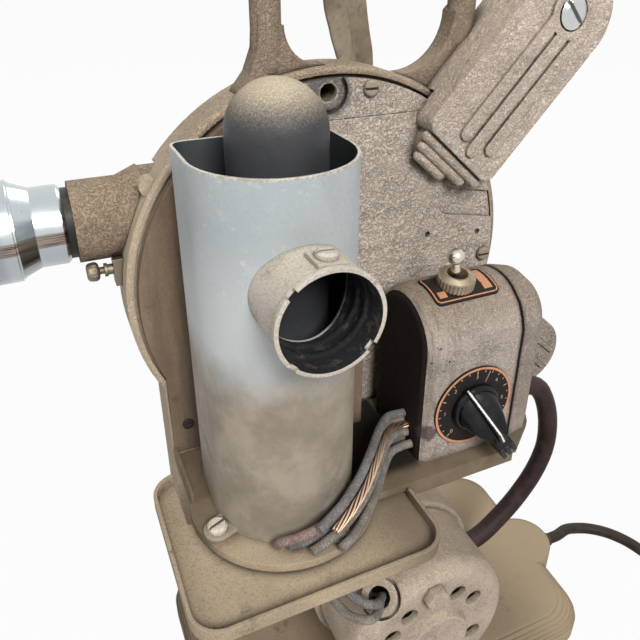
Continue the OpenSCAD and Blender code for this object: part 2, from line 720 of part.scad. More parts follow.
// Lens
module lens_holder() {
    color("tan") difference() {
        union() {
            along_x([holder_x0, lens_y, lens_z]) cylinder(d = holder_d, h = holder_len);
            along_x([holder_x0 + holder_len - 8, lens_y, lens_z])
                cylinder(d1 = holder_d, d2 = holder_d + 8, h = 10);
            // Foot on the back of the drum
            translate([holder_x0 + holder_len + 1, floor_y, lens_z - 18]) cube([14, 31, 36]);
        }
        along_x([holder_x0 - 1, lens_y, lens_z]) cylinder(d = barrel_d + 2 * run, h = holder_len + 20);
        along_y([drum_x, 0, drum_z]) cylinder(r = drum_r + gap, h = floor_y, $fn = 96);
    }
}
module lens_barrel() {
    color("dimgray") along_x([lens_x1 - 2, lens_y, lens_z]) difference() {
        cylinder(d = barrel_d, h = 34);
        translate([0, 0, -1]) cylinder(d = barrel_d - 5, h = 40);
    }
}
module lens_rings() {
    color("silver") difference() {
        union() {
            along_x([lens_x1 - ring_len, lens_y, lens_z]) cylinder(d = ring_d, h = ring_len - 1.5);
            along_x([lens_x1 - 1.6, lens_y, lens_z]) cylinder(d1 = ring_d, d2 = ring_d - 2.5, h = 1.6);
            along_x([front_x1 - 0.1, lens_y, lens_z])
                cylinder(d1 = front_d - 3, d2 = ring_d, h = taper_len + 0.2);
            along_x([front_x1 - front_len, lens_y, lens_z]) cylinder(d = front_d - 2, h = front_len);
            along_x([front_x1 - front_len + 2, lens_y, lens_z]) cylinder(d = front_d, h = front_len - 3);
        }
        along_x([front_x1 - front_len - 1, lens_y, lens_z]) cylinder(d = barrel_d - 5, h = 60);
        along_x([lens_x1 - 2, lens_y, lens_z]) cylinder(d = barrel_d, h = 10);
        along_x([front_x1 - front_len - 1, lens_y, lens_z])
            cylinder(d1 = front_d - 5, d2 = barrel_d - 5, h = 9);
    }
}
module lens_glass() {
    color("lightblue") along_x([lens_x1 - 32, lens_y, lens_z]) intersection() {
        cylinder(d = barrel_d - 5.2, h = 9);
        translate([0, 0, 26]) sphere(r = 26, $fn = 48);
    }
}
// Thumbscrew that clamps the lens, with its block on the drum
screw_y = 46;
screw_z = 254.5;
screw_x = -130.5;
module clamp_block() {
    color("silver") difference() {
        translate([-124.5, screw_y - 4, screw_z - 7.5]) cube([9, 7, 13.5]);
        along_x([-126, screw_y, screw_z]) cylinder(d = 5 + 2 * run, h = 8);
        along_x([holder_x0, lens_y, lens_z]) cylinder(d = holder_d + 2 * gap, h = holder_len);
        along_y([drum_x, 0, drum_z]) cylinder(r = drum_r, h = 100, $fn = 96);
    }
}
module thumbscrew() {
    color("silver") {
        along_x([screw_x - 6, screw_y, screw_z]) {
            difference() {
                rotate_extrude() polygon(concat([[0, 0]], arc([2.4, 2], 2, 270, 360, 4),
                    arc([2.4, 3.6], 2.2, 0, 90, 4), [[0, 5.8]]));
                for (a = [0 : 30 : 330]) rotate(a) translate([4.8, 0, -1])
                    cylinder(d = 0.9, h = 8, $fn = 16);
            }
            translate([0, 0, 5.5]) cylinder(d = 3.4, h = 3);
            translate([0, 0, 8]) cylinder(d = 6.4, h = 1.4);
        }
        along_x([screw_x + 3.3, screw_y, screw_z]) cylinder(d = 5, h = 5.7);
    }
}

// Lamphouse
// Round in front, flat at the back with two rounded corners
module tube_section(inset) hull() {
    intersection() {
        circle(tube_d / 2 - inset, $fn = 96);
        translate([-tube_d, -tube_d]) square([2 * tube_d, tube_d + 2]);
    }
    for (x = [-1, 1]) translate([x * (tube_d / 2 - tube_corner), flat_y - tube_corner])
        circle(tube_corner - inset);
}
module lamp_tube() {
    color("lightsteelblue") translate([tube_x, tube_y, foot_z]) difference() {
        union() {
            linear_extrude(tube_h) tube_section(0);
            // Foot ears that the screws hold
            for (a = [200, 290]) rotate(a) {
                translate([tube_d / 2 - 3, -6.5, 0]) cube([foot_screw - tube_d / 2 + 3, 13, 1.6]);
                translate([foot_screw, 0, 0]) cylinder(d = 13, h = 1.6);
            }
        }
        translate([0, 0, -1]) linear_extrude(tube_h + 2) tube_section(tube_wall);
        toward_lamp([0, 0, beam_h]) cylinder(d = collar_d - 2.4, h = 50);
        along_y([0, 0, beam_h]) cylinder(d = 30.6, h = 50);
        for (a = [200, 290]) rotate(a) translate([foot_screw, 0, -1]) cylinder(d = hole_d, h = 4);
    }
}
module side_collar() {
    r = collar_d / 2;
    color("tan") translate([tube_x, tube_y, beam_z]) difference() {
        union() {
            // Sleeve with a rolled lip and two inner ribs, turned from one profile
            rotate([90, 0, 0]) rotate_extrude($fn = 96) polygon([[r - 1.2, 0], [r, 0],
                [r, collar_reach - 3], [r + 0.6, collar_reach - 2.4], [r + 0.6, collar_reach],
                [r - 1.2, collar_reach], [r - 1.2, 46], [r - 2.6, 46], [r - 2.6, 44.5], [r - 1.2, 44.5],
                [r - 1.2, 39], [r - 2.6, 39], [r - 2.6, 37.5], [r - 1.2, 37.5]]);
            // Overlap seam of the clamp band
            rotate([0, 4, 0]) translate([-5.5, -collar_reach + 2.5, r - 0.6]) cube([11, 12, 1.6]);
        }
        translate([0, 0, -40]) cylinder(d = tube_d, h = 80, $fn = 96);
        // Notches in the lip
        for (a = [50, 130, 225, 315]) rotate([0, a, 0])
            translate([-2, -collar_reach - 1, r - 3]) cube([4, 3, 6]);
    }
}
module collar_screw() {
    color("silver") translate([tube_x, tube_y - collar_reach + 8.5, beam_z]) rotate([0, 4, 0])
        translate([0, 0, collar_d / 2 + 1]) slot_screw(8.5, 2.6, 0);
}
module lamp_bulb() {
    color("dimgray") translate([lamp_x, lamp_y, foot_z]) {
        translate([0, 0, 46]) cylinder(d = bulb_d, h = bulb_top - 46 - bulb_d / 2);
        translate([0, 0, bulb_top - bulb_d / 2]) sphere(d = bulb_d);
        translate([0, 0, 38]) cylinder(d1 = 26, d2 = bulb_d, h = 8.01);
        translate([0, 0, 22]) cylinder(d = 26, h = 16.01);
    }
}
module lamp_socket() {
    color("gray") translate([lamp_x, lamp_y, foot_z]) difference() {
        cylinder(d = 36, h = 30);
        translate([0, 0, 21.7]) cylinder(d = 26.4, h = 12);
    }
}
module condenser_barrel() {
    color("dimgray") along_y([tube_x, tube_y + flat_y - 2, beam_z]) difference() {
        cylinder(d = 30, h = face_y - cover_t - tube_y - flat_y + 6);
        translate([0, 0, -1]) cylinder(d = 24, h = 30);
    }
}
module lamp_flange() {
    color("tan") difference() {
        union() {
            translate([tube_x, tube_y, shelf_z]) cylinder(r = flange_r, h = flange_t, $fn = 96);
            translate([0, 0, shelf_z]) linear_extrude(flange_t) polygon([[ped_x0, tube_y + 2],
                [ped_x0, face_y - gap - 4], [cap_x1, face_y - gap - 4], [cap_x1, tube_y - 5],
                [cap_x1 - 3, tube_y - 9.5], [cap_x1 - 22, tube_y - 24],
                [tube_x + 36, tube_y - 24], [tube_x, tube_y]]);
            // Upturned lip on the left edge
            translate([ped_x0, tube_y + 7, shelf_z]) cube([1.6, face_y - tube_y - 13, flange_t + 6]);
            // Downturned lip on the right front edge
            translate([tube_x + 60, tube_y - 24, shelf_z - 5]) cube([cap_x1 - tube_x - 84, 2, 6]);
        }
        translate([tube_x, tube_y, 0]) for (a = [200, 290]) rotate(a)
            translate([foot_screw, 0, shelf_z - 1]) cylinder(d = hole_d, h = flange_t + 2);
    }
}
module flange_screws() {
    color("silver") translate([tube_x, tube_y, foot_z + 1.6]) for (a = [200, 290])
        rotate(a) translate([foot_screw, 0, 0]) slot_screw(9.5, 3.2, 4);
}
module tray() {
    color("tan") translate([tray_x0, tray_y0, tray_z]) difference() {
        linear_extrude(tray_rim) round_rect(tray_w, tray_d, tray_r);
        translate([1.8, 1.8, 1.2]) linear_extrude(tray_rim)
            round_rect(tray_w - 3.6, tray_d - 3.6, tray_r - 1.8);
        // Cut away under the shelf and its bracket
        translate([12, tray_d - 31, -1]) cube([tray_w, tray_d, tray_rim + 2]);
        translate([94, tray_d - 58, 1.21]) cube([tray_w, tray_d, tray_rim + 2]);
    }
    // Two pads between tray and shelf
    color("tan") for (x = [-24, 24]) translate([tube_x + x, tube_y - 22, tray_z])
        cylinder(d = 12, h = shelf_z - tray_z);
}
module back_plate() {
    color("tan") difference() {
        slab(tube_y + flat_y + gap, 1.5) polygon([[-97, foot_z], [-8, foot_z], [-8, 240], [-14, 252],
            [-46, 252], [-46, 316], [-97, 316]]);
        along_y([tube_x, 0, beam_z]) cylinder(d = 30.6, h = 40);
    }
}
module lamp_wires() {
    color("gray") for (w = [wire_a, wire_b, wire_c, wire_d_route, wire_e]) tube(cut(w), wire_d, 8);
}

// Control box
function vault_outline(inset) = let (r = vault_r - inset)
    concat([[vault_y + r, foot_z]], arc([vault_y, vault_z], r, 0, 180, 24),
        [[vault_y - r, foot_z]]);
module vault_slab(x, t, inset) translate([x, 0, 0]) rotate([90, 0, 90]) linear_extrude(t)
    polygon(vault_outline(inset));
edge_r = 7;
cap_r = 18;
module control_box() {
    color("rosybrown") difference() {
        hull() {
            for (a = [0, 30, 60])
                vault_slab(box_x0 + edge_r * (1 - cos(a)), 0.5, edge_r * (1 - sin(a)) * 0.8);
            vault_slab(box_x0 + edge_r, box_w - edge_r, 0);
        }
        toward_lamp([dial_x, box_front + 12, dial_z]) cylinder(d = 10, h = 20);
    }
}
module end_cap() {
    color("tan") hull() {
        vault_slab(box_x1 + gap, cap_w - cap_r, 0);
        for (a = [60, 30, 0])
            vault_slab(cap_x1 - cap_r * (1 - cos(a)) - 0.5, 0.5, cap_r * (1 - sin(a)) * 0.9);
    }
}
module dial_plate() {
    color("dimgray") toward_lamp([dial_x, box_front, dial_z]) difference() {
        cylinder(d = dial_d, h = 1.2);
        translate([0, 0, -1]) cylinder(d = 10.2, h = 4);
    }
}
module knob_bush() {
    color("goldenrod") toward_lamp([dial_x, box_front, dial_z]) difference() {
        translate([0, 0, -11.5]) cylinder(d = 10, h = 12.7);
        translate([0, 0, -12.5]) cylinder(d = shaft_d + 2 * run, h = 20);
    }
}
knob_point = 119;
module speed_knob() {
    color("black") toward_lamp([dial_x, box_front - 1.2 - gap, dial_z]) {
        translate([0, 0, -11]) cylinder(d = shaft_d, h = 12);
        cylinder(d1 = 27, d2 = 26, h = 3);
        translate([0, 0, 2.9]) cylinder(d1 = 25, d2 = 17, h = 14);
        // Bar: thin at the pointer, wide and ribbed at the grip
        rotate(knob_point) {
            hull() {
                rotate([90, 0, 0]) translate([0, 0, -1.6]) linear_extrude(3.2)
                    polygon([[15, 1], [15, 4], [-6, 19], [-6, 1]]);
                rotate([90, 0, 0]) translate([0, 0, -4.5]) linear_extrude(9)
                    polygon([[-12, 5], [-12, 18], [-20, 19], [-21, 17], [-21, 9]]);
            }
            for (y = [-3.4, 0, 3.4]) translate([-23.5, y - 1, 8]) cube([6, 2, 11.5]);
        }
    }
}
nut_seat = 0.9;
lever_h = 2.9;
module on_vault(x) translate([x, vault_y, vault_z]) rotate([switch_tilt, 0, 0])
    translate([0, 0, vault_r]) children();
module switch_plate() {
    color("dimgray") difference() {
        intersection() {
            along_x([switch_x - 16, vault_y, vault_z]) cylinder(r = vault_r + 1, h = 37, $fn = 96);
            on_vault(switch_x + 2.5) translate([-18.5, -10.5, -6])
                linear_extrude(9) round_rect(37, 21, 3);
        }
        along_x([switch_x - 20, vault_y, vault_z]) cylinder(r = vault_r + 0.1, h = 60, $fn = 96);
        on_vault(switch_x) translate([0, 0, -3]) cylinder(d = 11, h = 6);
        on_vault(switch_x) translate([0, 0, nut_seat]) cylinder(d = nut_d + 1, h = 6);
    }
}
module switch_nut() {
    color("goldenrod") on_vault(switch_x) difference() {
        union() {
            translate([0, 0, nut_seat]) cylinder(d = nut_d, h = 4.8);
            translate([0, 0, 5.6]) cylinder(d1 = nut_d - 2, d2 = nut_d - 6.5, h = 2);
        }
        cylinder(d = 10.6, h = 12);
        for (a = [0 : 12 : 348]) rotate(a) translate([nut_d / 2 + 0.2, 0, 0.5])
            cylinder(d = 1.2, h = 6.5, $fn = 16);
    }
}
module switch_lever() {
    color("silver") on_vault(switch_x) translate([0, 0, lever_h]) rotate([0, switch_lean, 0]) {
        sphere(d = 5);
        rotate([90, 0, 0]) translate([0, 0, -4]) cylinder(d = 2.4, h = 8);
        cylinder(d1 = 4.4, d2 = 5, h = 7);
        translate([0, 0, 6.9]) cylinder(d1 = 5, d2 = 4, h = 6);
        translate([0, 0, 15.6]) sphere(d = 8.2);
    }
}

// Cords
module motor_cable() {
    color("saddlebrown") tube(cable_route, cable_d, 10, [0, 1, 0]);
}
module strain_relief() {
    color("black") along_x([lead_x - 24, lobe_y, lead_z]) {
        cylinder(d = 12, h = 14);
        translate([0, 0, 14]) cylinder(d1 = 12, d2 = 9, h = 10);
    }
}
module mains_lead() {
    color("black") tube(cord_route, cord_d, 8);
}
function coil_r(t) = coil_in + coil_pitch * abs(t);
function coil_h(t) = coil_z + coil_rise * max(0, min(1, (t + 0.25) * 2));
function coil_point(t) = let (a = 180 + 360 * (t + coil_turns))
    [coil_cx + coil_r(t) * cos(a), coil_y + coil_r(t) * sin(a), coil_h(t)];
coil_n = round(2 * coil_turns * coil_rings);
turns_path = [for (i = [0 : coil_n]) coil_point(-coil_turns + 2 * coil_turns * i / coil_n)];
end_dir = unit(turns_path[coil_n] - turns_path[coil_n - 1]);
coil_path = concat([turns_path[0] + [0, 10, 0]], turns_path, [turns_path[coil_n] + plug_run * end_dir]);
function run_length(p) = let (steps = [for (i = [1 : len(p) - 1]) norm(p[i] - p[i - 1])])
    steps * [for (d = steps) 1];
self_gap = min([for (i = [0 : coil_n], j = [i + 15 : 1 : coil_n]) norm(turns_path[i] - turns_path[j])])
    - cord_d;
echo(coil_self_gap = self_gap, lead_length = run_length(cord_route) + run_length(coil_path));
module lead_coil() {
    color("black") tube(coil_path, cord_d, coil_sides);
}
plug_from = coil_path[len(coil_path) - 1];
plug_dir = tangent(coil_path, len(coil_path) - 1);
plug_turn = atan2(plug_dir[1], plug_dir[0]);
module at_plug() translate(plug_from) rotate([0, 0, plug_turn]) rotate([0, 90, 0]) children();
module plug_body() {
    color("black") at_plug() {
        cylinder(d1 = 10, d2 = 13, h = 9);
        translate([0, 0, 9]) cylinder(d = 24, h = 18);
    }
}
module plug_blades() {
    color("goldenrod") at_plug() for (y = [-1, 1])
        translate([-3, y * 6.35 - 0.75, 27]) cube([6, 1.5, 17]);
}

// Film side
module mirror_box() {
    color("dimgray") difference() {
        translate([tube_x - 12, floor_y, beam_z - 12]) cube([24, 26, 24]);
        along_y([tube_x, floor_y - 1, beam_z]) cylinder(d = 20, h = 14);
        along_x([tube_x - 13, film_y, beam_z]) cylinder(d = 18, h = 13);
    }
}
module film_gate() {
    color("silver") {
        difference() {
            translate([gate_x, floor_y, lens_z - 20]) cube([6, 26, 40]);
            translate([gate_x - 1, film_y - 5.2, lens_z - 4]) cube([10, 10.4, 8]);
            translate([gate_x + 5, film_y - film_w / 2 - 0.1, lens_z - 30])
                cube([3, film_w + 0.2, 60]);
        }
        // Pins that guide the pressure plate
        for (p = gate_pins) along_x([gate_x + 5, p[0], p[1]]) cylinder(d = 3, h = 9);
    }
}
gate_pins = [[film_y - 10, lens_z + 12], [film_y + 10, lens_z - 12]];
module pressure_plate() {
    color("silver") difference() {
        union() {
            translate([gate_x + 6.6, film_y - 7, lens_z - 18]) cube([3, 14, 36]);
            for (z = [-12, 12]) translate([gate_x + 6.6, film_y - 12.5, lens_z + z - 3])
                cube([3, 25, 6]);
        }
        translate([gate_x + 5, film_y - 5.2, lens_z - 4]) cube([10, 10.4, 8]);
        for (p = gate_pins) along_x([gate_x, p[0], p[1]]) cylinder(d = 3 + 2 * run, h = 20);
    }
}
module sprocket(z) {
    along_y([sprocket_x, floor_y - 11, z]) cylinder(d = shaft_d, h = 40);
    along_y([sprocket_x, film_y - film_w / 2 - 2, z]) difference() {
        cylinder(d = sprocket_d, h = film_w + 4);
        translate([0, 0, 4.5]) difference() {
            cylinder(d = sprocket_d + 2, h = film_w - 5);
            cylinder(d = sprocket_d - 4, h = film_w - 5);
        }
    }
    for (a = [0 : 30 : 330]) translate([sprocket_x, film_y - film_w / 2, z]) rotate([0, a, 0])
        translate([sprocket_d / 2 - 0.5, 0, -0.6]) cube([1.7, 1.2, 1.2]);
}
module upper_sprocket() color("silver") sprocket(sprocket_up);
module lower_sprocket() color("silver") sprocket(sprocket_low);
roller_at = [[-82, 303], [-82, 232]];
module guide_posts() {
    color("silver") for (p = roller_at) {
        along_y([p[0], floor_y, p[1]]) cylinder(d = 4, h = film_w + 12);
        along_y([p[0], floor_y, p[1]]) cylinder(d = 7, h = 2);
    }
}
module roller(p) color("dimgray") along_y([p[0], floor_y + 2.3, p[1]]) difference() {
    cylinder(d = roller_d, h = film_w + 6);
    translate([0, 0, -1]) cylinder(d = 4 + 2 * run, h = film_w + 10);
}
module upper_roller() roller(roller_at[0]);
module lower_roller() roller(roller_at[1]);

base_casting();
rubber_pads();
motor_can();
motor_bell();
motor_bolts();
motor_grommet();
motor_rotor();
drum_housing();
left_cover();
round_cover();
top_cover();
cover_screws();
takeup_arm();
takeup_spindle();
handle();
strap();
arm_bracket();
arm_pivot_screw();
reel_arm();
reel_spindle();
lens_holder();
lens_barrel();
lens_rings();
lens_glass();
clamp_block();
thumbscrew();
lamp_tube();
side_collar();
collar_screw();
lamp_bulb();
lamp_socket();
condenser_barrel();
lamp_flange();
flange_screws();
tray();
back_plate();
lamp_wires();
control_box();
end_cap();
dial_plate();
knob_bush();
speed_knob();
switch_plate();
switch_nut();
switch_lever();
hand_knob();
motor_cable();
strain_relief();
mains_lead();
lead_coil();
plug_body();
plug_blades();
mirror_box();
film_gate();
pressure_plate();
upper_sprocket();
lower_sprocket();
guide_posts();
upper_roller();
lower_roller();
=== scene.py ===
import math

import bmesh
import bpy
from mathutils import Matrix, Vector


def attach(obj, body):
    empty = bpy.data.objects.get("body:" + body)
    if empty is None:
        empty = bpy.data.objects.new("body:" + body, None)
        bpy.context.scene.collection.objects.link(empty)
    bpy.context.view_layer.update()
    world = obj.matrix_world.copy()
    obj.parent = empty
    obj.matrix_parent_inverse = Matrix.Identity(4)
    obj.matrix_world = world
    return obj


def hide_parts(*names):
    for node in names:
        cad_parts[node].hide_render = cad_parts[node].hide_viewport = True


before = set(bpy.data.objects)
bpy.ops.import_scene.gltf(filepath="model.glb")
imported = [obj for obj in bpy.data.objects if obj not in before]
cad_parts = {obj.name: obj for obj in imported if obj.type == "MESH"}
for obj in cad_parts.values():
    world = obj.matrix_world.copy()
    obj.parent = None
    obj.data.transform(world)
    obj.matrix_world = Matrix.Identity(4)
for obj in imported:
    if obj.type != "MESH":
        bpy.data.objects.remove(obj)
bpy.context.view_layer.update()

MM = 0.001
X, Y, Z = 0, 1, 2


def mm(*values):
    return Vector([v * MM for v in values])


# Camera: where the photograph was taken from, fitted to the drum, the tube and the base
CAMERA_AT = mm(-147.7, -245, 392)
CAMERA_DOWN = 26.5
CAMERA_TURN = -24
FOCAL_LENGTH = 36.84
CROP_SHIFT = -52 / 640


def make_camera():
    data = bpy.data.cameras.new("camera")
    data.sensor_width = 36
    data.lens = FOCAL_LENGTH
    data.shift_y = CROP_SHIFT
    data.clip_start = 0.02
    camera = bpy.data.objects.new("camera", data)
    camera.location = CAMERA_AT
    camera.rotation_euler = (math.radians(90 - CAMERA_DOWN), 0, math.radians(CAMERA_TURN))
    bpy.context.scene.collection.objects.link(camera)
    bpy.context.scene.camera = camera


make_camera()


# Node materials
class Graph:
    """A material's node tree, its colour so far, and short calls for the nodes that it needs."""

    def __init__(self, name):
        self.material = bpy.data.materials.new(name)
        self.material.use_nodes = True
        self.tree = self.material.node_tree
        self.shader = self.tree.nodes["Principled BSDF"]
        self.coords = self.add("ShaderNodeTexCoord").outputs["Object"]

    def add(self, kind, **settings):
        node = self.tree.nodes.new(kind)
        for key, value in settings.items():
            setattr(node, key, value)
        return node

    def put(self, socket, value):
        if isinstance(value, bpy.types.NodeSocket):
            self.tree.links.new(value, socket)
        elif isinstance(value, tuple) and len(value) == 3 and socket.type == "RGBA":
            socket.default_value = (*value, 1)
        else:
            socket.default_value = value

    def coat(self, amount, colour):
        """Lays a colour over the one so far."""
        self.colour = self.mix(amount, self.colour, colour)

    def set(self, **values):
        """Fills the shader's own sockets, also with the colour, and gives the material."""
        self.put(self.shader.inputs["Base Color"], self.colour)
        for key, value in values.items():
            self.put(self.shader.inputs[key.replace("_", " ")], value)
        return self.material

    def noise(self, scale, detail, rough, stretch=None):
        """Noise from 0 to 1, its scale in waves a metre, stretched where X, Y or Z is below 1."""
        node = self.add("ShaderNodeTexNoise")
        self.put(node.inputs["Vector"], self.stretched(stretch))
        self.put(node.inputs["Scale"], scale)
        self.put(node.inputs["Detail"], detail)
        self.put(node.inputs["Roughness"], rough)
        return node.outputs["Fac"]

    def cells(self, scale, stretch=None):
        node = self.add("ShaderNodeTexVoronoi")
        self.put(node.inputs["Vector"], self.stretched(stretch))
        self.put(node.inputs["Scale"], scale)
        return node.outputs["Distance"]

    def stretched(self, stretch):
        if stretch is None:
            return self.coords
        node = self.add("ShaderNodeMapping")
        self.put(node.inputs["Vector"], self.coords)
        self.put(node.inputs["Scale"], stretch)
        return node.outputs["Vector"]

    def span(self, value, low, high, to_low=0.0, to_high=1.0):
        """Fades smoothly from to_low to to_high while the value goes from low to high."""
        node = self.add("ShaderNodeMapRange", interpolation_type="SMOOTHSTEP")
        self.put(node.inputs["Value"], value)
        for key, number in zip(("From Min", "From Max", "To Min", "To Max"),
                               (low, high, to_low, to_high)):
            self.put(node.inputs[key], number)
        return node.outputs["Result"]

    def reach(self, axis, low, high, to_low=0.0, to_high=1.0):
        """The same between two places, in mm, along an axis."""
        return self.span(self.axis(axis), low * MM, high * MM, to_low, to_high)

    def math(self, operation, a, b=0.0):
        node = self.add("ShaderNodeMath", operation=operation)
        self.put(node.inputs[0], a)
        self.put(node.inputs[1], b)
        return node.outputs["Value"]

    def times(self, a, b):
        return self.math("MULTIPLY", a, b)

    def plus(self, a, b):
        return self.math("ADD", a, b)

    def wobble(self, noise, amount):
        """Noise moved to lie about zero, times the amount."""
        return self.times(self.math("SUBTRACT", noise, 0.5), amount)

    def vector(self, operation, a, b=None, output="Vector"):
        node = self.add("ShaderNodeVectorMath", operation=operation)
        self.put(node.inputs[0], a)
        if b is not None:
            self.put(node.inputs[1], b)
        return node.outputs[output]

    def mix(self, amount, a, b):
        node = self.add("ShaderNodeMix", data_type="RGBA")
        self.put(node.inputs[0], amount)
        self.put(node.inputs[6], a)
        self.put(node.inputs[7], b)
        return node.outputs[2]

    def axis(self, index, source=None):
        node = self.add("ShaderNodeSeparateXYZ")
        self.put(node.inputs[0], source or self.coords)
        return node.outputs[index]

    def normal(self, kind="Normal"):
        return self.add("ShaderNodeNewGeometry").outputs[kind]

    def facing_up(self):
        return self.span(self.axis(Z, self.normal()), 0.2, 0.95)

    def rounded(self, radius_mm):
        """The normal, with edges rounded to the radius."""
        bevel = self.add("ShaderNodeBevel", samples=4)
        self.put(bevel.inputs["Radius"], radius_mm * MM)
        return bevel.outputs["Normal"]

    def edges(self, radius_mm):
        """1 on edges about the radius wide, 0 on open faces, and the rounded normal."""
        rounded = self.rounded(radius_mm)
        turned = self.vector("DOT_PRODUCT", rounded, self.normal(), "Value")
        return self.span(turned, 0.995, 0.85), rounded

    def near(self, centre, radius, soft=1.0, ragged=0.0):
        """1 around a point, 0 beyond the radius, all in mm, with a ragged edge if wanted."""
        distance = self.vector("DISTANCE", self.coords, mm(*centre), "Value")
        if ragged:
            distance = self.plus(distance, self.wobble(self.noise(220, 5, 0.7), ragged * MM))
        return self.span(distance, radius * MM, (radius - soft) * MM)

    def hollows(self, reach_mm):
        """1 in corners and slots, from ambient occlusion, where dirt gathers and shade falls; 0 on
        open faces.
        """
        node = self.add("ShaderNodeAmbientOcclusion", samples=6)
        self.put(node.inputs["Distance"], reach_mm * MM)
        return self.span(node.outputs["AO"], 0.8, 0.35)

    def across(self, vector, axis):
        """The vector without its part along the axis."""
        return self.vector("MULTIPLY", vector, [0 if k == axis else 1 for k in range(3)])

    def radial(self, centre, axis):
        """Distance, in metres, from the line through centre (mm) along the axis."""
        offset = self.vector("SUBTRACT", self.coords, mm(*centre))
        return self.vector("LENGTH", self.across(offset, axis), output="Value")

    def toward(self, centre, axis):
        """Positive, in metres, where the surface faces the line through centre (mm)."""
        inward = self.vector("SUBTRACT", mm(*centre), self.coords)
        facing = self.normal("True Normal")
        return self.vector("DOT_PRODUCT", self.across(inward, axis), facing, "Value")

    def bump(self, height, strength, relief_mm, normal=None):
        node = self.add("ShaderNodeBump")
        self.put(node.inputs["Height"], height)
        self.put(node.inputs["Strength"], strength)
        self.put(node.inputs["Distance"], relief_mm * MM)
        if normal is not None:
            self.put(node.inputs["Normal"], normal)
        return node.outputs["Normal"]


def shade(colour, factor):
    return tuple(min(1, c * factor) for c in colour)


DIRT_AND_SHADE = (0.085, 0.065, 0.048)


def crinkle_paint(name, light, dust, grain_mm, relief_mm, dusting=0.7, round_mm=1.2, crevices=0.85,
                  lumps=0.6, marks=None):
    """Old crinkle-finish paint: wormy folds dark with dirt and painted shade, dust on what faces
    up, worn edges, dirt and painted shade in hollows.
    """
    g = Graph(name)
    worn, rounded = g.edges(round_mm)
    folds = g.math("ABSOLUTE", g.math("SUBTRACT", g.noise(900 / grain_mm, 3, 0.62), 0.5))
    fine = g.noise(3200 / grain_mm, 3, 0.7)
    cloud = g.noise(15, 5, 0.62)
    patch = g.noise(70, 4, 0.6)
    g.colour = g.mix(g.span(cloud, 0.34, 0.68), shade(light, 0.86), shade(light, 1.12))
    g.coat(g.span(patch, 0.5, 0.66, 0, 0.35), shade(light, 0.68))
    dusty = g.times(g.facing_up(), g.span(cloud, 0.25, 0.6, 0.4 * dusting, dusting))
    g.coat(dusty, dust)
    g.coat(g.span(fine, 0.5, 0.68, 0, 0.45), shade(light, 1.45))
    g.coat(g.span(fine, 0.5, 0.36, 0, 0.45), shade(DIRT_AND_SHADE, 1.6))
    # painted shade and dirt in the folds
    deep = g.times(g.span(folds, 0.05, 0.008), g.span(patch, 0.36, 0.6, 0.45, 1))
    g.coat(g.times(deep, crevices), DIRT_AND_SHADE)
    g.coat(g.times(worn, g.span(patch, 0.42, 0.6, 0.1, 0.55)), shade(light, 1.35))
    chips = g.span(g.noise(95, 6, 0.75), 0.71, 0.73)
    g.coat(g.times(chips, 0.7), shade(DIRT_AND_SHADE, 0.8))
    # painted shade and dirt in corners and slots
    grime_and_shade = g.times(g.hollows(9), g.span(patch, 0.3, 0.6, 0.6, 0.95))
    g.coat(grime_and_shade, shade(DIRT_AND_SHADE, 0.7))
    if marks:
        marks(g)
    height = g.plus(g.times(g.span(folds, 0.0, 0.1), 0.8), g.times(fine, 0.5))
    height = g.plus(height, g.times(g.noise(210, 3, 0.5), 4 * lumps))
    return g.set(Roughness=g.span(cloud, 0.3, 0.7, 0.68, 0.85),
                 Normal=g.bump(height, 0.8, relief_mm, rounded), Specular_IOR_Level=0.2)


def dusty_paint(name, light, dark, dust, round_mm=0.8, grit_amount=0.5, stain_amount=0.5,
                marks=None):
    """Smoother old paint with sand grain, grit and stains, and dirt and painted shade in hollows,
    as on the tray, shelf and base.
    """
    g = Graph(name)
    worn, rounded = g.edges(round_mm)
    cloud = g.noise(20, 5, 0.62)
    sand = g.noise(1100, 4, 0.7)
    g.colour = g.mix(g.span(cloud, 0.32, 0.7), shade(light, 0.84), shade(light, 1.14))
    g.coat(g.times(g.facing_up(), g.span(cloud, 0.3, 0.6, 0.3, 0.6)), dust)
    g.coat(g.times(g.span(g.noise(42, 6, 0.7), 0.56, 0.7), stain_amount), dark)
    g.coat(g.span(sand, 0.5, 0.68, 0, 0.45), shade(light, 1.4))
    g.coat(g.span(sand, 0.5, 0.34, 0, 0.5), shade(dark, 1.5))
    g.coat(g.span(g.noise(520, 3, 0.65), 0.7, 0.74, 0, grit_amount), shade(dark, 0.5))
    g.coat(g.times(worn, 0.4), shade(light, 1.3))
    # painted shade and dirt in corners and slots
    g.coat(g.times(g.hollows(7), g.span(cloud, 0.3, 0.6, 0.55, 0.9)), shade(dark, 0.6))
    if marks:
        marks(g)
    return g.set(Roughness=g.span(cloud, 0.3, 0.7, 0.7, 0.88),
                 Normal=g.bump(sand, 0.55, 0.4, rounded), Specular_IOR_Level=0.2)


# Marks that lie at one place of the object, in mm
BOX_SEAM_X = 59.2
BOX_STAIN = (8, -28, 169)
BOX_SPECKS = (12, -28, 213)
PANEL_RUST = (-106, 32, 185)
COVER_HOLE = (-21.5, 32, 330.5)
LOW_SCREW = (-101, 30, 168)
COLLAR_AXIS = (-66, 0, 275)
TRAY_STAIN = (20, -58, 147)
TUBE_AXIS = (-66, -14, 0)


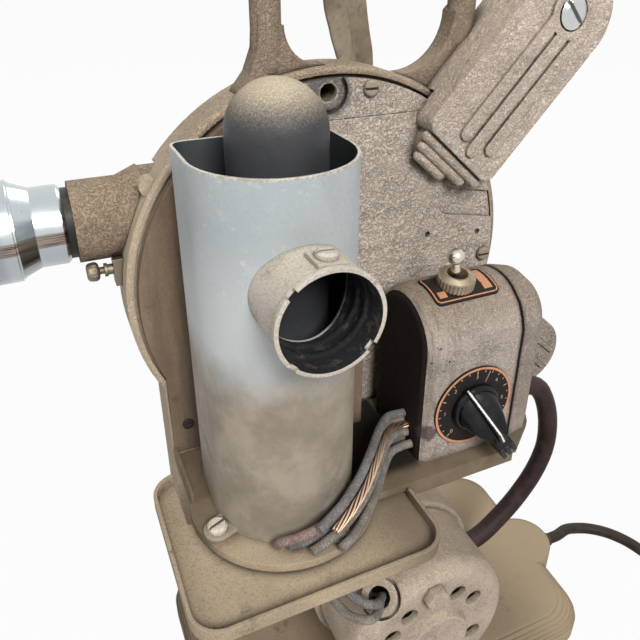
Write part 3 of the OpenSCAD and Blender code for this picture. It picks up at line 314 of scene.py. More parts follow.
def box_marks(g):
    """Control box: streaks, near-black painted shade on the side towards the tube, black seam at
    its cap with painted shadow along it, a stain, specks.
    """
    streaks = g.span(g.noise(330, 5, 0.7, (1, 0.25, 0.12)), 0.46, 0.66, 0, 0.55)
    g.coat(g.times(streaks, g.reach(X, 30, 14, 0.25, 1)), (0.15, 0.115, 0.09))
    # painted shade, near black, on the side that faces the tube
    ragged = g.plus(g.axis(X), g.wobble(g.noise(150, 5, 0.7), 6 * MM))
    side = g.span(g.axis(X, g.normal()), -0.70, -0.97)
    side_shade = g.times(side, g.span(ragged, 11.5 * MM, 6.5 * MM))
    g.coat(side_shade, (0.014, 0.009, 0.007))
    wavy = g.plus(g.axis(X), g.wobble(g.noise(120, 4, 0.7), 1.2 * MM))
    seam = g.math("ABSOLUTE", g.math("SUBTRACT", wavy, BOX_SEAM_X * MM))
    # painted shadow, brown, along the seam; the black seam itself below
    g.coat(g.span(seam, 3.0 * MM, 1.0 * MM, 0, 0.55), (0.13, 0.085, 0.06))
    g.coat(g.span(seam, 1.1 * MM, 0.7 * MM), (0.008, 0.007, 0.007))
    g.coat(g.times(g.near(BOX_STAIN, 6.5, 2.5, 9), 0.8), (0.06, 0.04, 0.045))
    specks = g.times(g.near(BOX_SPECKS, 14, 8), g.span(g.noise(420, 4, 0.75), 0.6, 0.64))
    g.coat(specks, (0.03, 0.025, 0.022))


def flange_marks(g):
    """Lamp flange and shelf: painted shade, brown, to the right and at the back, and near-black
    painted shade between tube and box.
    """
    wobble = g.wobble(g.noise(45, 5, 0.7), 30 * MM)
    x = g.plus(g.axis(X), wobble)
    y = g.plus(g.axis(Y), wobble)
    # painted shade, brown, right of the tube and at the back on the left
    brown = g.mix(g.noise(90, 5, 0.7), (0.05, 0.035, 0.023), (0.20, 0.148, 0.095))
    right = g.span(x, -36 * MM, -18 * MM)
    left = g.times(g.span(x, -88 * MM, -98 * MM), g.span(y, -45 * MM, -30 * MM))
    g.coat(g.times(g.math("MAXIMUM", right, left), 0.85), brown)
    # painted shade, near black, in the gap between tube and box
    behind = g.times(g.reach(Y, -34, -26), g.times(g.reach(X, -40, -32), g.reach(X, 6, 3)))
    g.coat(behind, (0.016, 0.012, 0.009))


def panel_marks(g):
    """Left cover: soft upright smears that grow darker towards the tube as its painted shadow, and
    a spot of rust.
    """
    smear = g.span(g.noise(70, 4, 0.6, (1, 1, 0.12)), 0.42, 0.62, 0, 0.55)
    # painted shadow of the tube: the smears darken towards it
    g.coat(g.times(smear, g.reach(X, -135, -100)), (0.075, 0.055, 0.042))
    g.coat(g.near(PANEL_RUST, 5, 2, 3), (0.05, 0.025, 0.02))


def cover_marks(g):
    """Cover: blue-black ring where a plug once sat round its hole."""
    ring = g.math("SUBTRACT", g.near(COVER_HOLE, 13.5, 3, 5), g.near(COVER_HOLE, 6.5, 2, 3))
    g.coat(g.times(ring, 0.7), (0.055, 0.06, 0.068))


def collar_marks(g):
    """Collar: soot on its inside."""
    inside = g.span(g.radial(COLLAR_AXIS, Y), 19.75 * MM, 19.55 * MM)
    patches = g.span(g.noise(200, 4, 0.7), 0.5, 0.7)
    g.coat(inside, g.mix(patches, (0.016, 0.015, 0.017), (0.075, 0.06, 0.05)))


def tray_marks(g):
    """Tray: brown in its shaded right half, and a stain at its front."""
    shaded = g.times(g.reach(X, -45, -15), g.reach(Z, 149.9, 148.9))
    g.coat(g.times(shaded, 0.75), (0.14, 0.105, 0.075))
    g.coat(g.times(g.near(TRAY_STAIN, 22, 12, 16), 0.5), (0.10, 0.07, 0.05))


def screw_marks(g):
    """Cover screws: painted shade and dirt, black, in their slots, the low left one dark all over.
    """
    # painted shade and dirt in the slots
    g.coat(g.hollows(1.5), (0.02, 0.016, 0.013))
    g.coat(g.near(LOW_SCREW, 12, 2), (0.04, 0.022, 0.018))


def drum_marks(g):
    """Drum: painted light on its left rim, which is lighter."""
    # painted light on the left rim
    g.coat(g.reach(X, -82, -100, 0, 0.5), (0.62, 0.50, 0.37))


def base_marks(g):
    """Base: painted light, a lighter tan, on the far end."""
    # painted light on the far end
    g.coat(g.reach(X, 55, 105, 0, 0.75), (0.40, 0.31, 0.20))


def galvanised():
    """Dull zinc sheet: clean and bluish at the top, dusty tan lower down, soot on the inside."""
    g = Graph("galvanised_sheet")
    worn, rounded = g.edges(0.5)
    cloud = g.noise(16, 5, 0.6)
    speckle = g.noise(700, 4, 0.65)
    g.colour = g.mix(g.span(cloud, 0.35, 0.68), (0.37, 0.405, 0.415), (0.45, 0.475, 0.475))
    g.coat(g.span(g.noise(150, 5, 0.7), 0.56, 0.72, 0, 0.5), (0.60, 0.63, 0.62))
    g.coat(g.span(speckle, 0.5, 0.36, 0, 0.25), (0.30, 0.32, 0.32))
    height = g.plus(g.axis(Z), g.wobble(cloud, 50 * MM))
    g.coat(g.span(height, 300 * MM, 262 * MM, 0, 0.6), (0.52, 0.54, 0.535))
    low = g.span(height, 256 * MM, 226 * MM)
    tan = g.mix(g.span(g.noise(40, 5, 0.65), 0.35, 0.65), (0.215, 0.18, 0.14), (0.32, 0.27, 0.21))
    g.coat(low, tan)
    soot = g.times(g.span(g.noise(34, 6, 0.7), 0.5, 0.72),
                   g.span(height, 240 * MM, 165 * MM, 0, 0.8))
    g.coat(soot, (0.085, 0.075, 0.07))
    flecks = g.span(g.noise(310, 4, 0.75), 0.7, 0.74, 0, 0.7)
    g.coat(flecks, (0.09, 0.08, 0.07))
    dusty = g.mix(g.span(speckle, 0.4, 0.6), (0.36, 0.31, 0.23), (0.62, 0.58, 0.50))
    g.coat(g.reach(Z, 319.5, 320.5, 0, 0.75), dusty)
    inside = g.span(g.toward(TUBE_AXIS, Z), 2 * MM, 8 * MM)
    g.coat(inside, g.mix(cloud, (0.03, 0.036, 0.038), (0.085, 0.095, 0.095)))
    g.coat(g.times(worn, 0.45), (0.72, 0.71, 0.66))
    return g.set(Metallic=g.span(low, 0, 1, 0.3, 0.0),
                 Roughness=g.span(cloud, 0.3, 0.7, 0.48, 0.62),
                 Normal=g.bump(speckle, 0.15, 0.3, rounded), Specular_IOR_Level=0.3)


def lens_chrome():
    """Mirror plate: painted reflections as a band of dark stripes at middle height and a darker
    lower part, pits, a brown step, and a dull front darkened as painted reflection.
    """
    g = Graph("lens_chrome")
    smear = g.noise(45, 5, 0.65)
    wavy = g.plus(g.axis(Z), g.wobble(smear, 1.6 * MM))
    g.colour = g.mix(g.span(smear, 0.42, 0.72, 0, 0.5), (0.56, 0.605, 0.62), (0.44, 0.48, 0.50))
    # painted reflection: darker below middle height
    g.coat(g.span(wavy, 272.5 * MM, 271.5 * MM), (0.44, 0.47, 0.49))
    stripes = g.span(g.noise(1400, 2, 0.6, (0.02, 0.02, 1)), 0.42, 0.56)
    # painted reflection: a band of dark stripes at middle height
    band = g.times(g.span(wavy, 278.2 * MM, 277.6 * MM), g.span(wavy, 271.6 * MM, 272.2 * MM))
    g.coat(band, g.mix(stripes, (0.055, 0.035, 0.030), (0.34, 0.28, 0.24)))
    step = g.times(g.reach(X, -162.4, -161.8), g.reach(X, -154.0, -154.6))
    g.coat(g.times(step, g.reach(Z, 278.5, 275.5, 0, 0.4)), (0.16, 0.135, 0.115))
    # painted reflection: the front darker
    g.coat(g.reach(X, -166, -171, 0, 0.55), (0.25, 0.265, 0.275))
    pits = g.times(g.span(g.noise(560, 4, 0.75), 0.62, 0.68),
                   g.span(g.noise(60, 3, 0.6), 0.45, 0.6))
    g.coat(g.times(pits, 0.7), (0.16, 0.15, 0.14))
    return g.set(Roughness=g.span(smear, 0.35, 0.7, 0.14, 0.3),
                 Normal=g.bump(pits, 0.15, -0.08, g.rounded(0.4)), Metallic=1)


def metal(name, colour, dull, rough, rough_to, wear, fine=900):
    """Plated or bare metal with smears, fine scratches and dirt in its tarnish."""
    g = Graph(name)
    smear = g.noise(45, 5, 0.65)
    scratch = g.noise(fine, 3, 0.7)
    g.colour = g.mix(g.span(smear, 0.42, 0.72, 0, wear), colour, dull)
    g.coat(g.span(scratch, 0.62, 0.75, 0, 0.3), dull)
    g.coat(g.times(g.hollows(2.5), 0.8), shade(dull, 0.25))
    return g.set(Roughness=g.span(smear, 0.35, 0.7, rough, rough_to),
                 Normal=g.bump(scratch, 0.12, 0.08, g.rounded(0.3)), Metallic=1)


def plastic(name, colour, rough, dusting=0.25, scuffs=0.2):
    """Moulded plastic or rubber with scuffs and a film of dust on top."""
    g = Graph(name)
    film = (0.22, 0.19, 0.14)
    worn, rounded = g.edges(0.5)
    cloud = g.noise(90, 4, 0.65)
    g.colour = g.mix(g.span(cloud, 0.4, 0.7, 0, 0.5), colour, shade(colour, 1.8))
    dusty = g.times(g.facing_up(), g.span(cloud, 0.3, 0.7, 0.2 * dusting, dusting))
    g.coat(dusty, film)
    g.coat(g.times(worn, scuffs), film)
    return g.set(Roughness=g.span(cloud, 0.3, 0.7, rough, rough + 0.2),
                 Normal=g.bump(g.noise(1400, 3, 0.6), 0.15, 0.1, rounded), Specular_IOR_Level=0.22)


def sheath(name, colour, light, ring_mm=2.2):
    """Rubbed cord sheath with fine rings, lighter on what faces up."""
    g = Graph(name)
    cloud = g.noise(120, 4, 0.65)
    g.colour = g.mix(g.span(cloud, 0.35, 0.7), colour, light)
    g.coat(g.times(g.facing_up(), 0.25), shade(light, 1.8))
    return g.set(Roughness=g.span(cloud, 0.3, 0.7, 0.5, 0.7),
                 Normal=g.bump(g.noise(1000 / ring_mm, 4, 0.7), 0.3, 0.3), Specular_IOR_Level=0.15)


def cloth_braid(name, colour, light):
    """Old braided wire sleeve: crossing threads, soiled and fuzzy."""
    g = Graph(name)
    threads = g.cells(1500, (1, 1, 0.6))
    cloud = g.noise(140, 5, 0.7)
    g.colour = g.mix(g.span(cloud, 0.35, 0.68), colour, light)
    g.coat(g.span(threads, 0.15, 0.6, 0, 0.6), shade(colour, 0.4))
    fuzz = g.plus(threads, g.noise(500, 4, 0.7))
    return g.set(Roughness=0.95, Normal=g.bump(fuzz, 0.7, 0.5))


def bulb_glass():
    """Black-coated lamp top: dust thick on the dome, thinning to the sides, black with soot."""
    g = Graph("coated_lamp_glass")
    grains = g.noise(1500, 3, 0.7)
    side = g.mix(g.noise(60, 5, 0.65), (0.022, 0.023, 0.027), (0.055, 0.056, 0.06))
    lit = g.plus(g.reach(Z, 328.5, 355.5), g.wobble(grains, 0.55))
    dust = g.mix(g.span(grains, 0.3, 0.7), (0.40, 0.33, 0.235), (0.60, 0.51, 0.38))
    g.colour = g.mix(g.span(lit, 0.02, 0.85, 0, 0.97), side, dust)
    return g.set(Roughness=g.span(lit, 0, 0.5, 0.45, 0.95), Normal=g.bump(grains, 0.3, 0.2),
                 Specular_IOR_Level=0.25)


def leather():
    """Dry, creased strap leather."""
    g = Graph("worn_leather")
    cloud = g.noise(35, 4, 0.6)
    creases = g.noise(500, 5, 0.7, (1, 1, 0.35))
    g.colour = g.mix(g.span(cloud, 0.35, 0.7), (0.215, 0.17, 0.11), (0.39, 0.33, 0.24))
    g.coat(g.span(creases, 0.3, 0.5, 0.5, 0), (0.13, 0.11, 0.08))
    return g.set(Roughness=g.span(cloud, 0.3, 0.7, 0.65, 0.8), Normal=g.bump(creases, 0.5, 0.4))


def lens_glass():
    """Clear glass with a thin, uneven film."""
    g = Graph("lens_glass")
    g.colour = (0.5, 0.55, 0.62)
    return g.set(Roughness=g.span(g.noise(80, 3, 0.6), 0.3, 0.7, 0.02, 0.08),
                 Transmission_Weight=0.9, IOR=1.52)


def porcelain():
    """Cream porcelain, grimy in patches."""
    g = Graph("porcelain")
    cloud = g.noise(70, 4, 0.6)
    g.colour = g.mix(g.span(cloud, 0.35, 0.7), (0.5, 0.47, 0.4), (0.33, 0.29, 0.23))
    return g.set(Roughness=g.span(cloud, 0.3, 0.7, 0.3, 0.6), Normal=g.bump(cloud, 0.1, 0.2))


def ink(name, colour):
    """Printed ink on a dial or plate, a little worn."""
    g = Graph(name)
    wear = g.noise(700, 4, 0.7)
    g.colour = g.mix(g.span(wear, 0.55, 0.72), colour, shade(colour, 0.35))
    return g.set(Roughness=g.span(wear, 0.3, 0.7, 0.4, 0.6))


DUST = (0.48, 0.395, 0.275)
SHEET_TAN = (0.38, 0.30, 0.205)
SHEET_DIRT_AND_SHADE = (0.12, 0.09, 0.065)
SHEET_DUST = (0.46, 0.37, 0.25)

finish = {
    "drum": crinkle_paint("drum_paint", (0.43, 0.335, 0.235), DUST, 1.6, 0.45, crevices=0.7,
                          marks=drum_marks),
    "cover": crinkle_paint("cover_paint", (0.57, 0.485, 0.41), DUST, 1.9, 0.7, crevices=0.6,
                           lumps=1.1, marks=cover_marks),
    "box": crinkle_paint("box_paint", (0.47, 0.40, 0.345), (0.34, 0.27, 0.19), 1.3, 0.35,
                         dusting=0.9, round_mm=1.5, crevices=0.6, marks=box_marks),
    # painted shade: the cap's paint is the box's paint made darker
    "cap": crinkle_paint("cap_paint", (0.39, 0.325, 0.275), (0.32, 0.255, 0.175), 1.3, 0.4,
                         dusting=0.8, round_mm=1.5, crevices=0.7, marks=box_marks),
    "arm": crinkle_paint("arm_paint", (0.62, 0.52, 0.43), (0.54, 0.44, 0.31), 1.7, 0.7,
                         dusting=0.6, round_mm=2, crevices=0.35, lumps=1.2),
    "takeup": crinkle_paint("takeup_paint", (0.42, 0.355, 0.295), (0.42, 0.345, 0.25), 1.6, 0.7,
                            dusting=0.6, round_mm=2, crevices=0.7),
    "holder": crinkle_paint("holder_paint", (0.33, 0.245, 0.165), (0.40, 0.315, 0.21), 1.8, 0.45,
                            crevices=0.8),
    "handle": crinkle_paint("handle_paint", (0.31, 0.235, 0.17), (0.42, 0.335, 0.23), 1.6, 0.6,
                            dusting=0.5, round_mm=3, crevices=0.5),
    "motor": crinkle_paint("motor_paint", (0.52, 0.425, 0.34), (0.52, 0.42, 0.30), 1.2, 0.35,
                           dusting=0.8, round_mm=2.5, crevices=0.45),
    "panel": dusty_paint("panel_paint", (0.20, 0.142, 0.094), DIRT_AND_SHADE, (0.34, 0.265, 0.18),
                         marks=panel_marks),
    "tray": dusty_paint("tray_paint", SHEET_TAN, SHEET_DIRT_AND_SHADE, SHEET_DUST, grit_amount=0.85,
                        stain_amount=0.7, marks=tray_marks),
    "screws": dusty_paint("screw_paint", (0.30, 0.245, 0.18), (0.09, 0.068, 0.05),
                          (0.44, 0.355, 0.245), marks=screw_marks),
    "flange": dusty_paint("flange_paint", SHEET_TAN, SHEET_DIRT_AND_SHADE, SHEET_DUST, marks=flange_marks),
    "base": dusty_paint("base_paint", (0.215, 0.165, 0.112), (0.10, 0.072, 0.05),
                        (0.28, 0.215, 0.14), round_mm=3, grit_amount=0.8, stain_amount=0.7,
                        marks=base_marks),
    "collar": dusty_paint("collar_paint", (0.52, 0.465, 0.40), (0.14, 0.115, 0.09),
                          (0.66, 0.58, 0.46), marks=collar_marks),
    "zinc": galvanised(),
    "lens_chrome": lens_chrome(),
    "chrome": metal("chrome_plate", (0.62, 0.63, 0.62), (0.30, 0.29, 0.27), 0.12, 0.3, 0.6),
    "steel": metal("plated_steel", (0.46, 0.43, 0.36), (0.17, 0.145, 0.11), 0.3, 0.5, 0.8),
    "dull_steel": metal("dull_steel", (0.25, 0.205, 0.15), (0.09, 0.07, 0.05), 0.5, 0.7, 0.9),
    "brass": metal("dull_brass", (0.44, 0.37, 0.275), (0.22, 0.175, 0.125), 0.55, 0.7, 0.8),
    "nickel": metal("worn_nickel", (0.74, 0.68, 0.58), (0.40, 0.34, 0.26), 0.18, 0.32, 0.5),
    "copper": metal("bare_copper", (0.74, 0.54, 0.39), (0.36, 0.245, 0.165), 0.35, 0.55, 0.7, 1400),
    "dark": plastic("dark_paint", (0.02, 0.019, 0.018), 0.4),
    "bakelite": plastic("bakelite", (0.004, 0.004, 0.005), 0.16, dusting=0.03, scuffs=0.02),
    "dial": plastic("dial_ground", (0.009, 0.0068, 0.006), 0.65, dusting=0.04, scuffs=0.05),
    "rubber": plastic("rubber", (0.02, 0.016, 0.014), 0.55),
    "lead": sheath("lead_sheath", (0.016, 0.011, 0.009), (0.040, 0.029, 0.024)),
    "cable": sheath("cable_sheath", (0.020, 0.011, 0.010), (0.044, 0.027, 0.025), 1.6),
    "cloth": cloth_braid("wire_cloth", (0.20, 0.175, 0.145), (0.36, 0.32, 0.27)),
    "cloth_grey": cloth_braid("wire_cloth_grey", (0.15, 0.14, 0.135), (0.28, 0.265, 0.255)),
    "cloth_pink": cloth_braid("wire_cloth_pink", (0.25, 0.165, 0.14), (0.40, 0.29, 0.255)),
    "bulb": bulb_glass(),
    "leather": leather(),
    "lens": lens_glass(),
    "porcelain": porcelain(),
    "orange": ink("orange_ink", (0.52, 0.24, 0.125)),
    "peach": ink("peach_ink", (0.56, 0.36, 0.26)),
    "white": ink("white_ink", (0.72, 0.70, 0.64)),
}

finish_nodes = {
    "base": "base_casting",
    "rubber": "rubber_pads strain_relief plug_body",
    "motor": "motor_can motor_bell motor_bolts motor_grommet",
    "drum": "drum_housing",
    "panel": "left_cover back_plate",
    "cover": "round_cover top_cover",
    "screws": "cover_screws",
    "takeup": "takeup_arm",
    "handle": "handle",
    "leather": "strap",
    "arm": "arm_bracket reel_arm",
    "chrome": "arm_pivot_screw",
    "holder": "lens_holder",
    "lens_chrome": "lens_rings",
    "lens": "lens_glass",
    "dull_steel": "clamp_block thumbscrew",
    "zinc": "lamp_tube",
    "collar": "side_collar collar_screw flange_screws",
    "bulb": "lamp_bulb",
    "porcelain": "lamp_socket",
    "flange": "lamp_flange",
    "tray": "tray",
    "cloth": "lamp_wires",
    "box": "control_box",
    "cap": "end_cap",
    "dial": "dial_plate switch_plate",
    "brass": "knob_bush switch_nut plug_blades",
    "nickel": "switch_lever",
    "bakelite": "speed_knob hand_knob",
    "cable": "motor_cable",
    "lead": "mains_lead lead_coil",
    "dark": "lens_barrel condenser_barrel mirror_box upper_roller lower_roller",
    "steel": "motor_rotor takeup_spindle reel_spindle film_gate pressure_plate upper_sprocket "
             "lower_sprocket guide_posts",
}
node_finish = {node: key for key, nodes in finish_nodes.items() for node in nodes.split()}


def dress_nodes():
    for name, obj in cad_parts.items():
        for slot in obj.material_slots:
            slot.material = finish[node_finish[name]]


dress_nodes()


# Making pieces
def add_piece(name, data, material, body):
    piece = bpy.data.objects.new(name, data)
    bpy.context.scene.collection.objects.link(piece)
    data.materials.append(finish[material])
    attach(piece, body)
    return piece


def mesh_piece(name, points, faces, material, body, slot, smooth=False):
    data = bpy.data.meshes.new(name)
    data.from_pydata([Vector(p) * MM for p in points], [], faces)
    data.validate()
    build = bmesh.new()
    build.from_mesh(data)
    bmesh.ops.recalc_face_normals(build, faces=build.faces)
    build.to_mesh(data)
    build.free()
    for face in data.polygons:
        face.use_smooth = smooth
    return add_piece(name, data, material, body)


def spline(a, b, c, d, steps):
    """Catmull-Rom points from b up to c, without c."""
    for k in range(steps):
        t = k / steps
        yield 0.5 * (2 * b + (c - a) * t + (2 * a - 5 * b + 4 * c - d) * t * t
                     + (3 * b - a - 3 * c + d) * t ** 3)


def smooth_path(points, steps=6):
    """Curve through the points, in mm."""
    pts = [Vector(p) for p in points]
    pts = [2 * pts[0] - pts[1]] + pts + [2 * pts[-1] - pts[-2]]
    out = []
    for i in range(1, len(pts) - 2):
        out += spline(*pts[i - 1:i + 3], steps)
    return out + [pts[-2]]


def closed_path(points, steps=10):
    """Curve through the points and back to the first."""
    pts = [Vector(p) for p in points]
    out = []
    for i in range(len(pts)):
        out += spline(*(pts[(i + k - 1) % len(pts)] for k in range(4)), steps)
    return out


def run_length(path):
    """Length in metres of a path in mm."""
    return sum((b - a).length for a, b in zip(path, path[1:])) * MM


def tube_quads(rows, sides, first=0, closed=False):
    """Quads between rows of points that each go once round a tube."""
    faces = []
    for i in range(rows if closed else rows - 1):
        here, there = first + i * sides, first + (i + 1) % rows * sides
        for k in range(sides):
            n = (k + 1) % sides
            faces.append((here + k, here + n, there + n, there + k))
    return faces


def lay_cord(name, route, diameter, material, slot, path=None, replaced=(), **facts):
    path = path or smooth_path(route)
    data = bpy.data.curves.new(name, "CURVE")
    data.dimensions = "3D"
    data.bevel_depth = diameter * MM / 2
    data.bevel_resolution = 5
    data.use_fill_caps = True
    line = data.splines.new("POLY")
    line.points.add(len(path) - 1)
    for point, at in zip(line.points, path):
        point.co = (*(at * MM), 1)
    line.use_smooth = True
    piece = add_piece(name, data, material, "stand")
    if replaced:
        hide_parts(*replaced)
    run_length(path)


# Cords, along the routes of the solids, all in mm
LEAD_D = 7.5
LEAD_X = 136.5
LEAD_Z = 4
PLUG_RUN = 24
COIL_D = 86
COIL_TURNS = 19 / 6  # in each of its two layers
COIL_PITCH = LEAD_D + 0.6
COIL_START = (197, -90)
COIL_STEPS = 36
CABLE_D = 11.5
CAP_X = 80.8
WIRE_D = 4.4
BARE_WIRE = {"far_end": "bare", "stiffness": "stiff", "lay": "loose"}

lead_route = [(LEAD_X, -7, 9), (LEAD_X + 9, -7, 9), (155, -5, 8), (165, -5, 5), (175, -9, LEAD_Z),
              (184, -17, LEAD_Z), (191, -28, LEAD_Z), (195, -41, LEAD_Z), (197, -55, LEAD_Z),
              (197, -70, LEAD_Z), (197, -80, LEAD_Z)]
cable_route = [(CAP_X, -8, 160), (CAP_X + 10, -8, 159), (101, -7.5, 153), (109, -7.5, 139),
               (113.5, -8, 122), (114, -8.5, 104), (108, -9, 86), (97, -9.5, 70), (84, -10, 57.5),
               (70, -11, 49), (57, -11, 45.5), (45, -11, 45.5)]
wire_routes = {
    "lamp_wire_1": [(3.9, -12, 166), (-1, -12, 166.5), (-9, -16, 169), (-20, -28, 170),
                    (-31, -41, 168), (-45, -51.5, 165), (-60, -56.5, 163), (-73, -57, 161),
                    (-80, -54, 158), (-82, -51, 154)],
    "lamp_wire_2": [(3.9, -17, 161.5), (-1, -17, 162), (-10, -22, 164.5), (-21, -33, 165.5),
                    (-32, -44.5, 163.5), (-46, -54.5, 160.5), (-60, -60.5, 158), (-70, -62.5, 156)],
    "lamp_wire_3": [(3.9, -9, 160.5), (-1, -9, 160.5), (-9, -12, 163), (-19, -23, 165),
                    (-29.5, -35, 163), (-42, -46.5, 160), (-57, -53.5, 157.5), (-69, -55, 155),
                    (-77, -52.5, 153)],
    "lamp_wire_4": [(3.9, -21.5, 157), (-2, -21.5, 157), (-11, -25.5, 159), (-22, -37, 160.5),
                    (-33, -49, 158.5), (-47, -60, 156), (-57, -64.5, 154)],
    "lamp_wire_5": [(3.9, -14, 155.5), (-1, -14, 155.5), (-10, -18, 157.5), (-20, -29.5, 158.5),
                    (-30, -40.5, 156.5), (-37, -46.5, 154.5), (-42.5, -50, 152.7)],
}
# On top of them: one more covered wire, and one whose cover has gone
upper_wire = [(3.9, -12.5, 170.6), (-1, -12.7, 171.2), (-8, -15.5, 173.4), (-17, -23.5, 174.6),
              (-28, -35.5, 174.0), (-40, -46.5, 171.4), (-53, -55, 168.2), (-66, -60.5, 165.4)]
bare_strand = [(3.9, -17.2, 166.1), (-1, -17.4, 166.8), (-8, -20.5, 169.4), (-17, -28.5, 171.9),
               (-28, -40, 171.4), (-38, -49.5, 168.9), (-49, -57.5, 166.0), (-59, -62.5, 163.2)]
# Out of the pedestal's face, along the motor can, into the grommet of its bell
motor_routes = {
    "motor_lead_1": [(-38.6, 30.5, 107), (-39.4, 12, 106.3), (-40.5, -8, 105.3), (-44, -24, 105.5),
                     (-50, -40, 110), (-51, -54, 114), (-45.5, -65, 113), (-38.5, -66.5, 110),
                     (-33.5, -61.5, 104.5), (-31, -58.5, 101.5)],
    "motor_lead_2": [(-42, 30.5, 103.6), (-42.8, 12, 102.9), (-43.9, -8, 101.8),
                     (-47.8, -24, 101.2), (-56, -40, 107), (-57, -54, 110.5), (-53, -66, 109.5),
                     (-46, -71, 108.5), (-40, -69, 106), (-34.5, -62.5, 101.5), (-32.5, -59.5, 99)],
}
wire_cloth = {"lamp_wire_1": "cloth_pink", "lamp_wire_3": "cloth_grey", "lamp_wire_5": "cloth_grey",
              "motor_lead_1": "cloth_grey"}

# The bare strand: its width, and the threads that wind round its middle
STRAND_RADIUS = 1.3
STRAND_FLAT = 1.1
THREADS = 7
THREAD_RADIUS = 0.62
THREAD_SIDES = 7
TURNS_PER_MM = 0.019


def coil_path():
    """Inwards on the floor, then outwards on top."""
    inner = COIL_D / 2 - COIL_PITCH * COIL_TURNS / 2
    centre_x = COIL_START[0] + inner + COIL_PITCH * COIL_TURNS
    steps = round(2 * COIL_TURNS * COIL_STEPS)
    path = []
    for i in range(steps + 1):
        t = -COIL_TURNS + 2 * COIL_TURNS * i / steps
        radius = inner + COIL_PITCH * abs(t)
        angle = math.pi + 2 * math.pi * (t + COIL_TURNS)
        height = LEAD_Z + COIL_PITCH * max(0, min(1, (t + 0.25) * 2))
        path.append(Vector((centre_x + radius * math.cos(angle),
                            COIL_START[1] + radius * math.sin(angle), height)))
    return path


def strand_mesh():
    """The strand's threads, as points in mm and faces."""
    path = smooth_path(bare_strand, 14)
    points, faces = [], []
    for thread in range(THREADS):
        first = len(points)
        travelled = 0
        side = Vector((0, 0, 1))
        for i, at in enumerate(path):
            along = (path[min(i + 1, len(path) - 1)] - path[max(i - 1, 0)]).normalized()
            side = (side - side.dot(along) * along).normalized()
            other = along.cross(side)
            if i:
                travelled += (at - path[i - 1]).length
            turn = 2 * math.pi * (travelled * TURNS_PER_MM + thread / THREADS)
            bulge = STRAND_RADIUS * (1 + 0.25 * math.sin(travelled * 0.21 + thread))
            centre = (at + side * (bulge * math.sin(turn))
                      + other * (bulge * STRAND_FLAT * math.cos(turn)))
            for k in range(THREAD_SIDES):
                a = 2 * math.pi * k / THREAD_SIDES
                points.append(centre + side * (THREAD_RADIUS * math.cos(a))
                              + other * (THREAD_RADIUS * math.sin(a)))
        faces += tube_quads(len(path), THREAD_SIDES, first)
        faces.append(tuple(range(first + THREAD_SIDES - 1, first - 1, -1)))
        faces.append(tuple(range(len(points) - THREAD_SIDES, len(points))))
    return points, faces


def make_cords():
    turns = coil_path()
    out = (turns[-1] - turns[-2]).normalized()
    path = smooth_path(lead_route) + turns + [turns[-1] + PLUG_RUN * out]
    lay_cord("mains_cord", lead_route, LEAD_D, "lead", "rubber", path, ("mains_lead", "lead_coil"),
             far_end="plug", stiffness="medium", lay="coiled",
             with_pieces=["plug_body", "plug_blades", "strain_relief"])
    lay_cord("motor_cord", cable_route, CABLE_D, "cable", "cable_brown", replaced=("motor_cable",),
             far_end="object", stiffness="medium", lay="loose")
    for name, route in wire_routes.items():
        lay_cord(name, route, WIRE_D, wire_cloth.get(name, "cloth"), "cloth",
                 replaced=("lamp_wires",), **BARE_WIRE)
    lay_cord("lamp_wire_6", upper_wire, WIRE_D, "cloth_grey", "cloth", **BARE_WIRE)
    strand = mesh_piece("copper_strand", *strand_mesh(), "copper", "stand", "cloth", smooth=True)
    route = smooth_path(bare_strand)
    for name, route in motor_routes.items():
        lay_cord(name, route, WIRE_D, wire_cloth.get(name, "cloth"), "cloth",
                 far_end="object", stiffness="medium", lay="loose")


make_cords()


# Leather strap over the handle's grip
STRAP_W = 11
STRAP_T = 2.2
# Centre of the band in mm, and how its width turns from X towards Y
STRAP = [((-13.0, 42.0, 409.5), 0), ((-14.0, 35.6, 407.0), 0), ((-14.5, 33.3, 400.5), 0),
         ((-14.2, 36.0, 391.5), 0), ((-12.0, 43.5, 380.0), 0), ((-7.8, 52.5, 367.0), 0),
         ((-0.6, 60.5, 351.0), 0.25), ((6.2, 66.5, 337.0), 0.5), ((10.0, 70.5, 329.5), 0.5),
         ((15.0, 76.5, 324.5), 0.3), ((20.5, 79.0, 327.5), 0.1), ((20.6, 76.0, 334.0), 0),
         ((14.0, 69.0, 351.0), 0), ((7.6, 62.5, 367.0), 0), ((-1.5, 57.0, 381.0), 0),
         ((-9.0, 52.6, 392.5), 0), ((-12.3, 50.7, 401.0), 0), ((-12.6, 48.4, 407.0), 0)]


def band_section(width, thick, corner=0.8):
    """Rounded rectangle: offsets across the band and through it."""
    points = []
    for sx, sy, start in ((1, 1, 0), (-1, 1, 90), (-1, -1, 180), (1, -1, 270)):
        for angle in (0, 45, 90):
            a = math.radians(start + angle)
            points.append((sx * (width / 2 - corner) + corner * math.cos(a),
                           sy * (thick / 2 - corner) + corner * math.sin(a)))
    return points


def make_strap():
    centre = closed_path([at for at, turn in STRAP])
    turns = closed_path([(turn, 0, 0) for at, turn in STRAP])
    section = band_section(STRAP_W, STRAP_T)
    points = []
    for i, at in enumerate(centre):
        along = (centre[(i + 1) % len(centre)] - centre[i - 1]).normalized()
        wide = Vector((1, turns[i].x, 0))
        wide = (wide - wide.dot(along) * along).normalized()
        through = along.cross(wide)
        ripple = 0.25 * math.sin(i * 0.37) + 0.15 * math.sin(i * 0.91 + 1)
        points += [at + wide * u + through * (v + ripple) for u, v in section]
    faces = tube_quads(len(centre), len(section), closed=True)
    strap = mesh_piece("leather_strap", points, faces, "leather", "stand", "leather", smooth=True)
    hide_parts("strap")


make_strap()


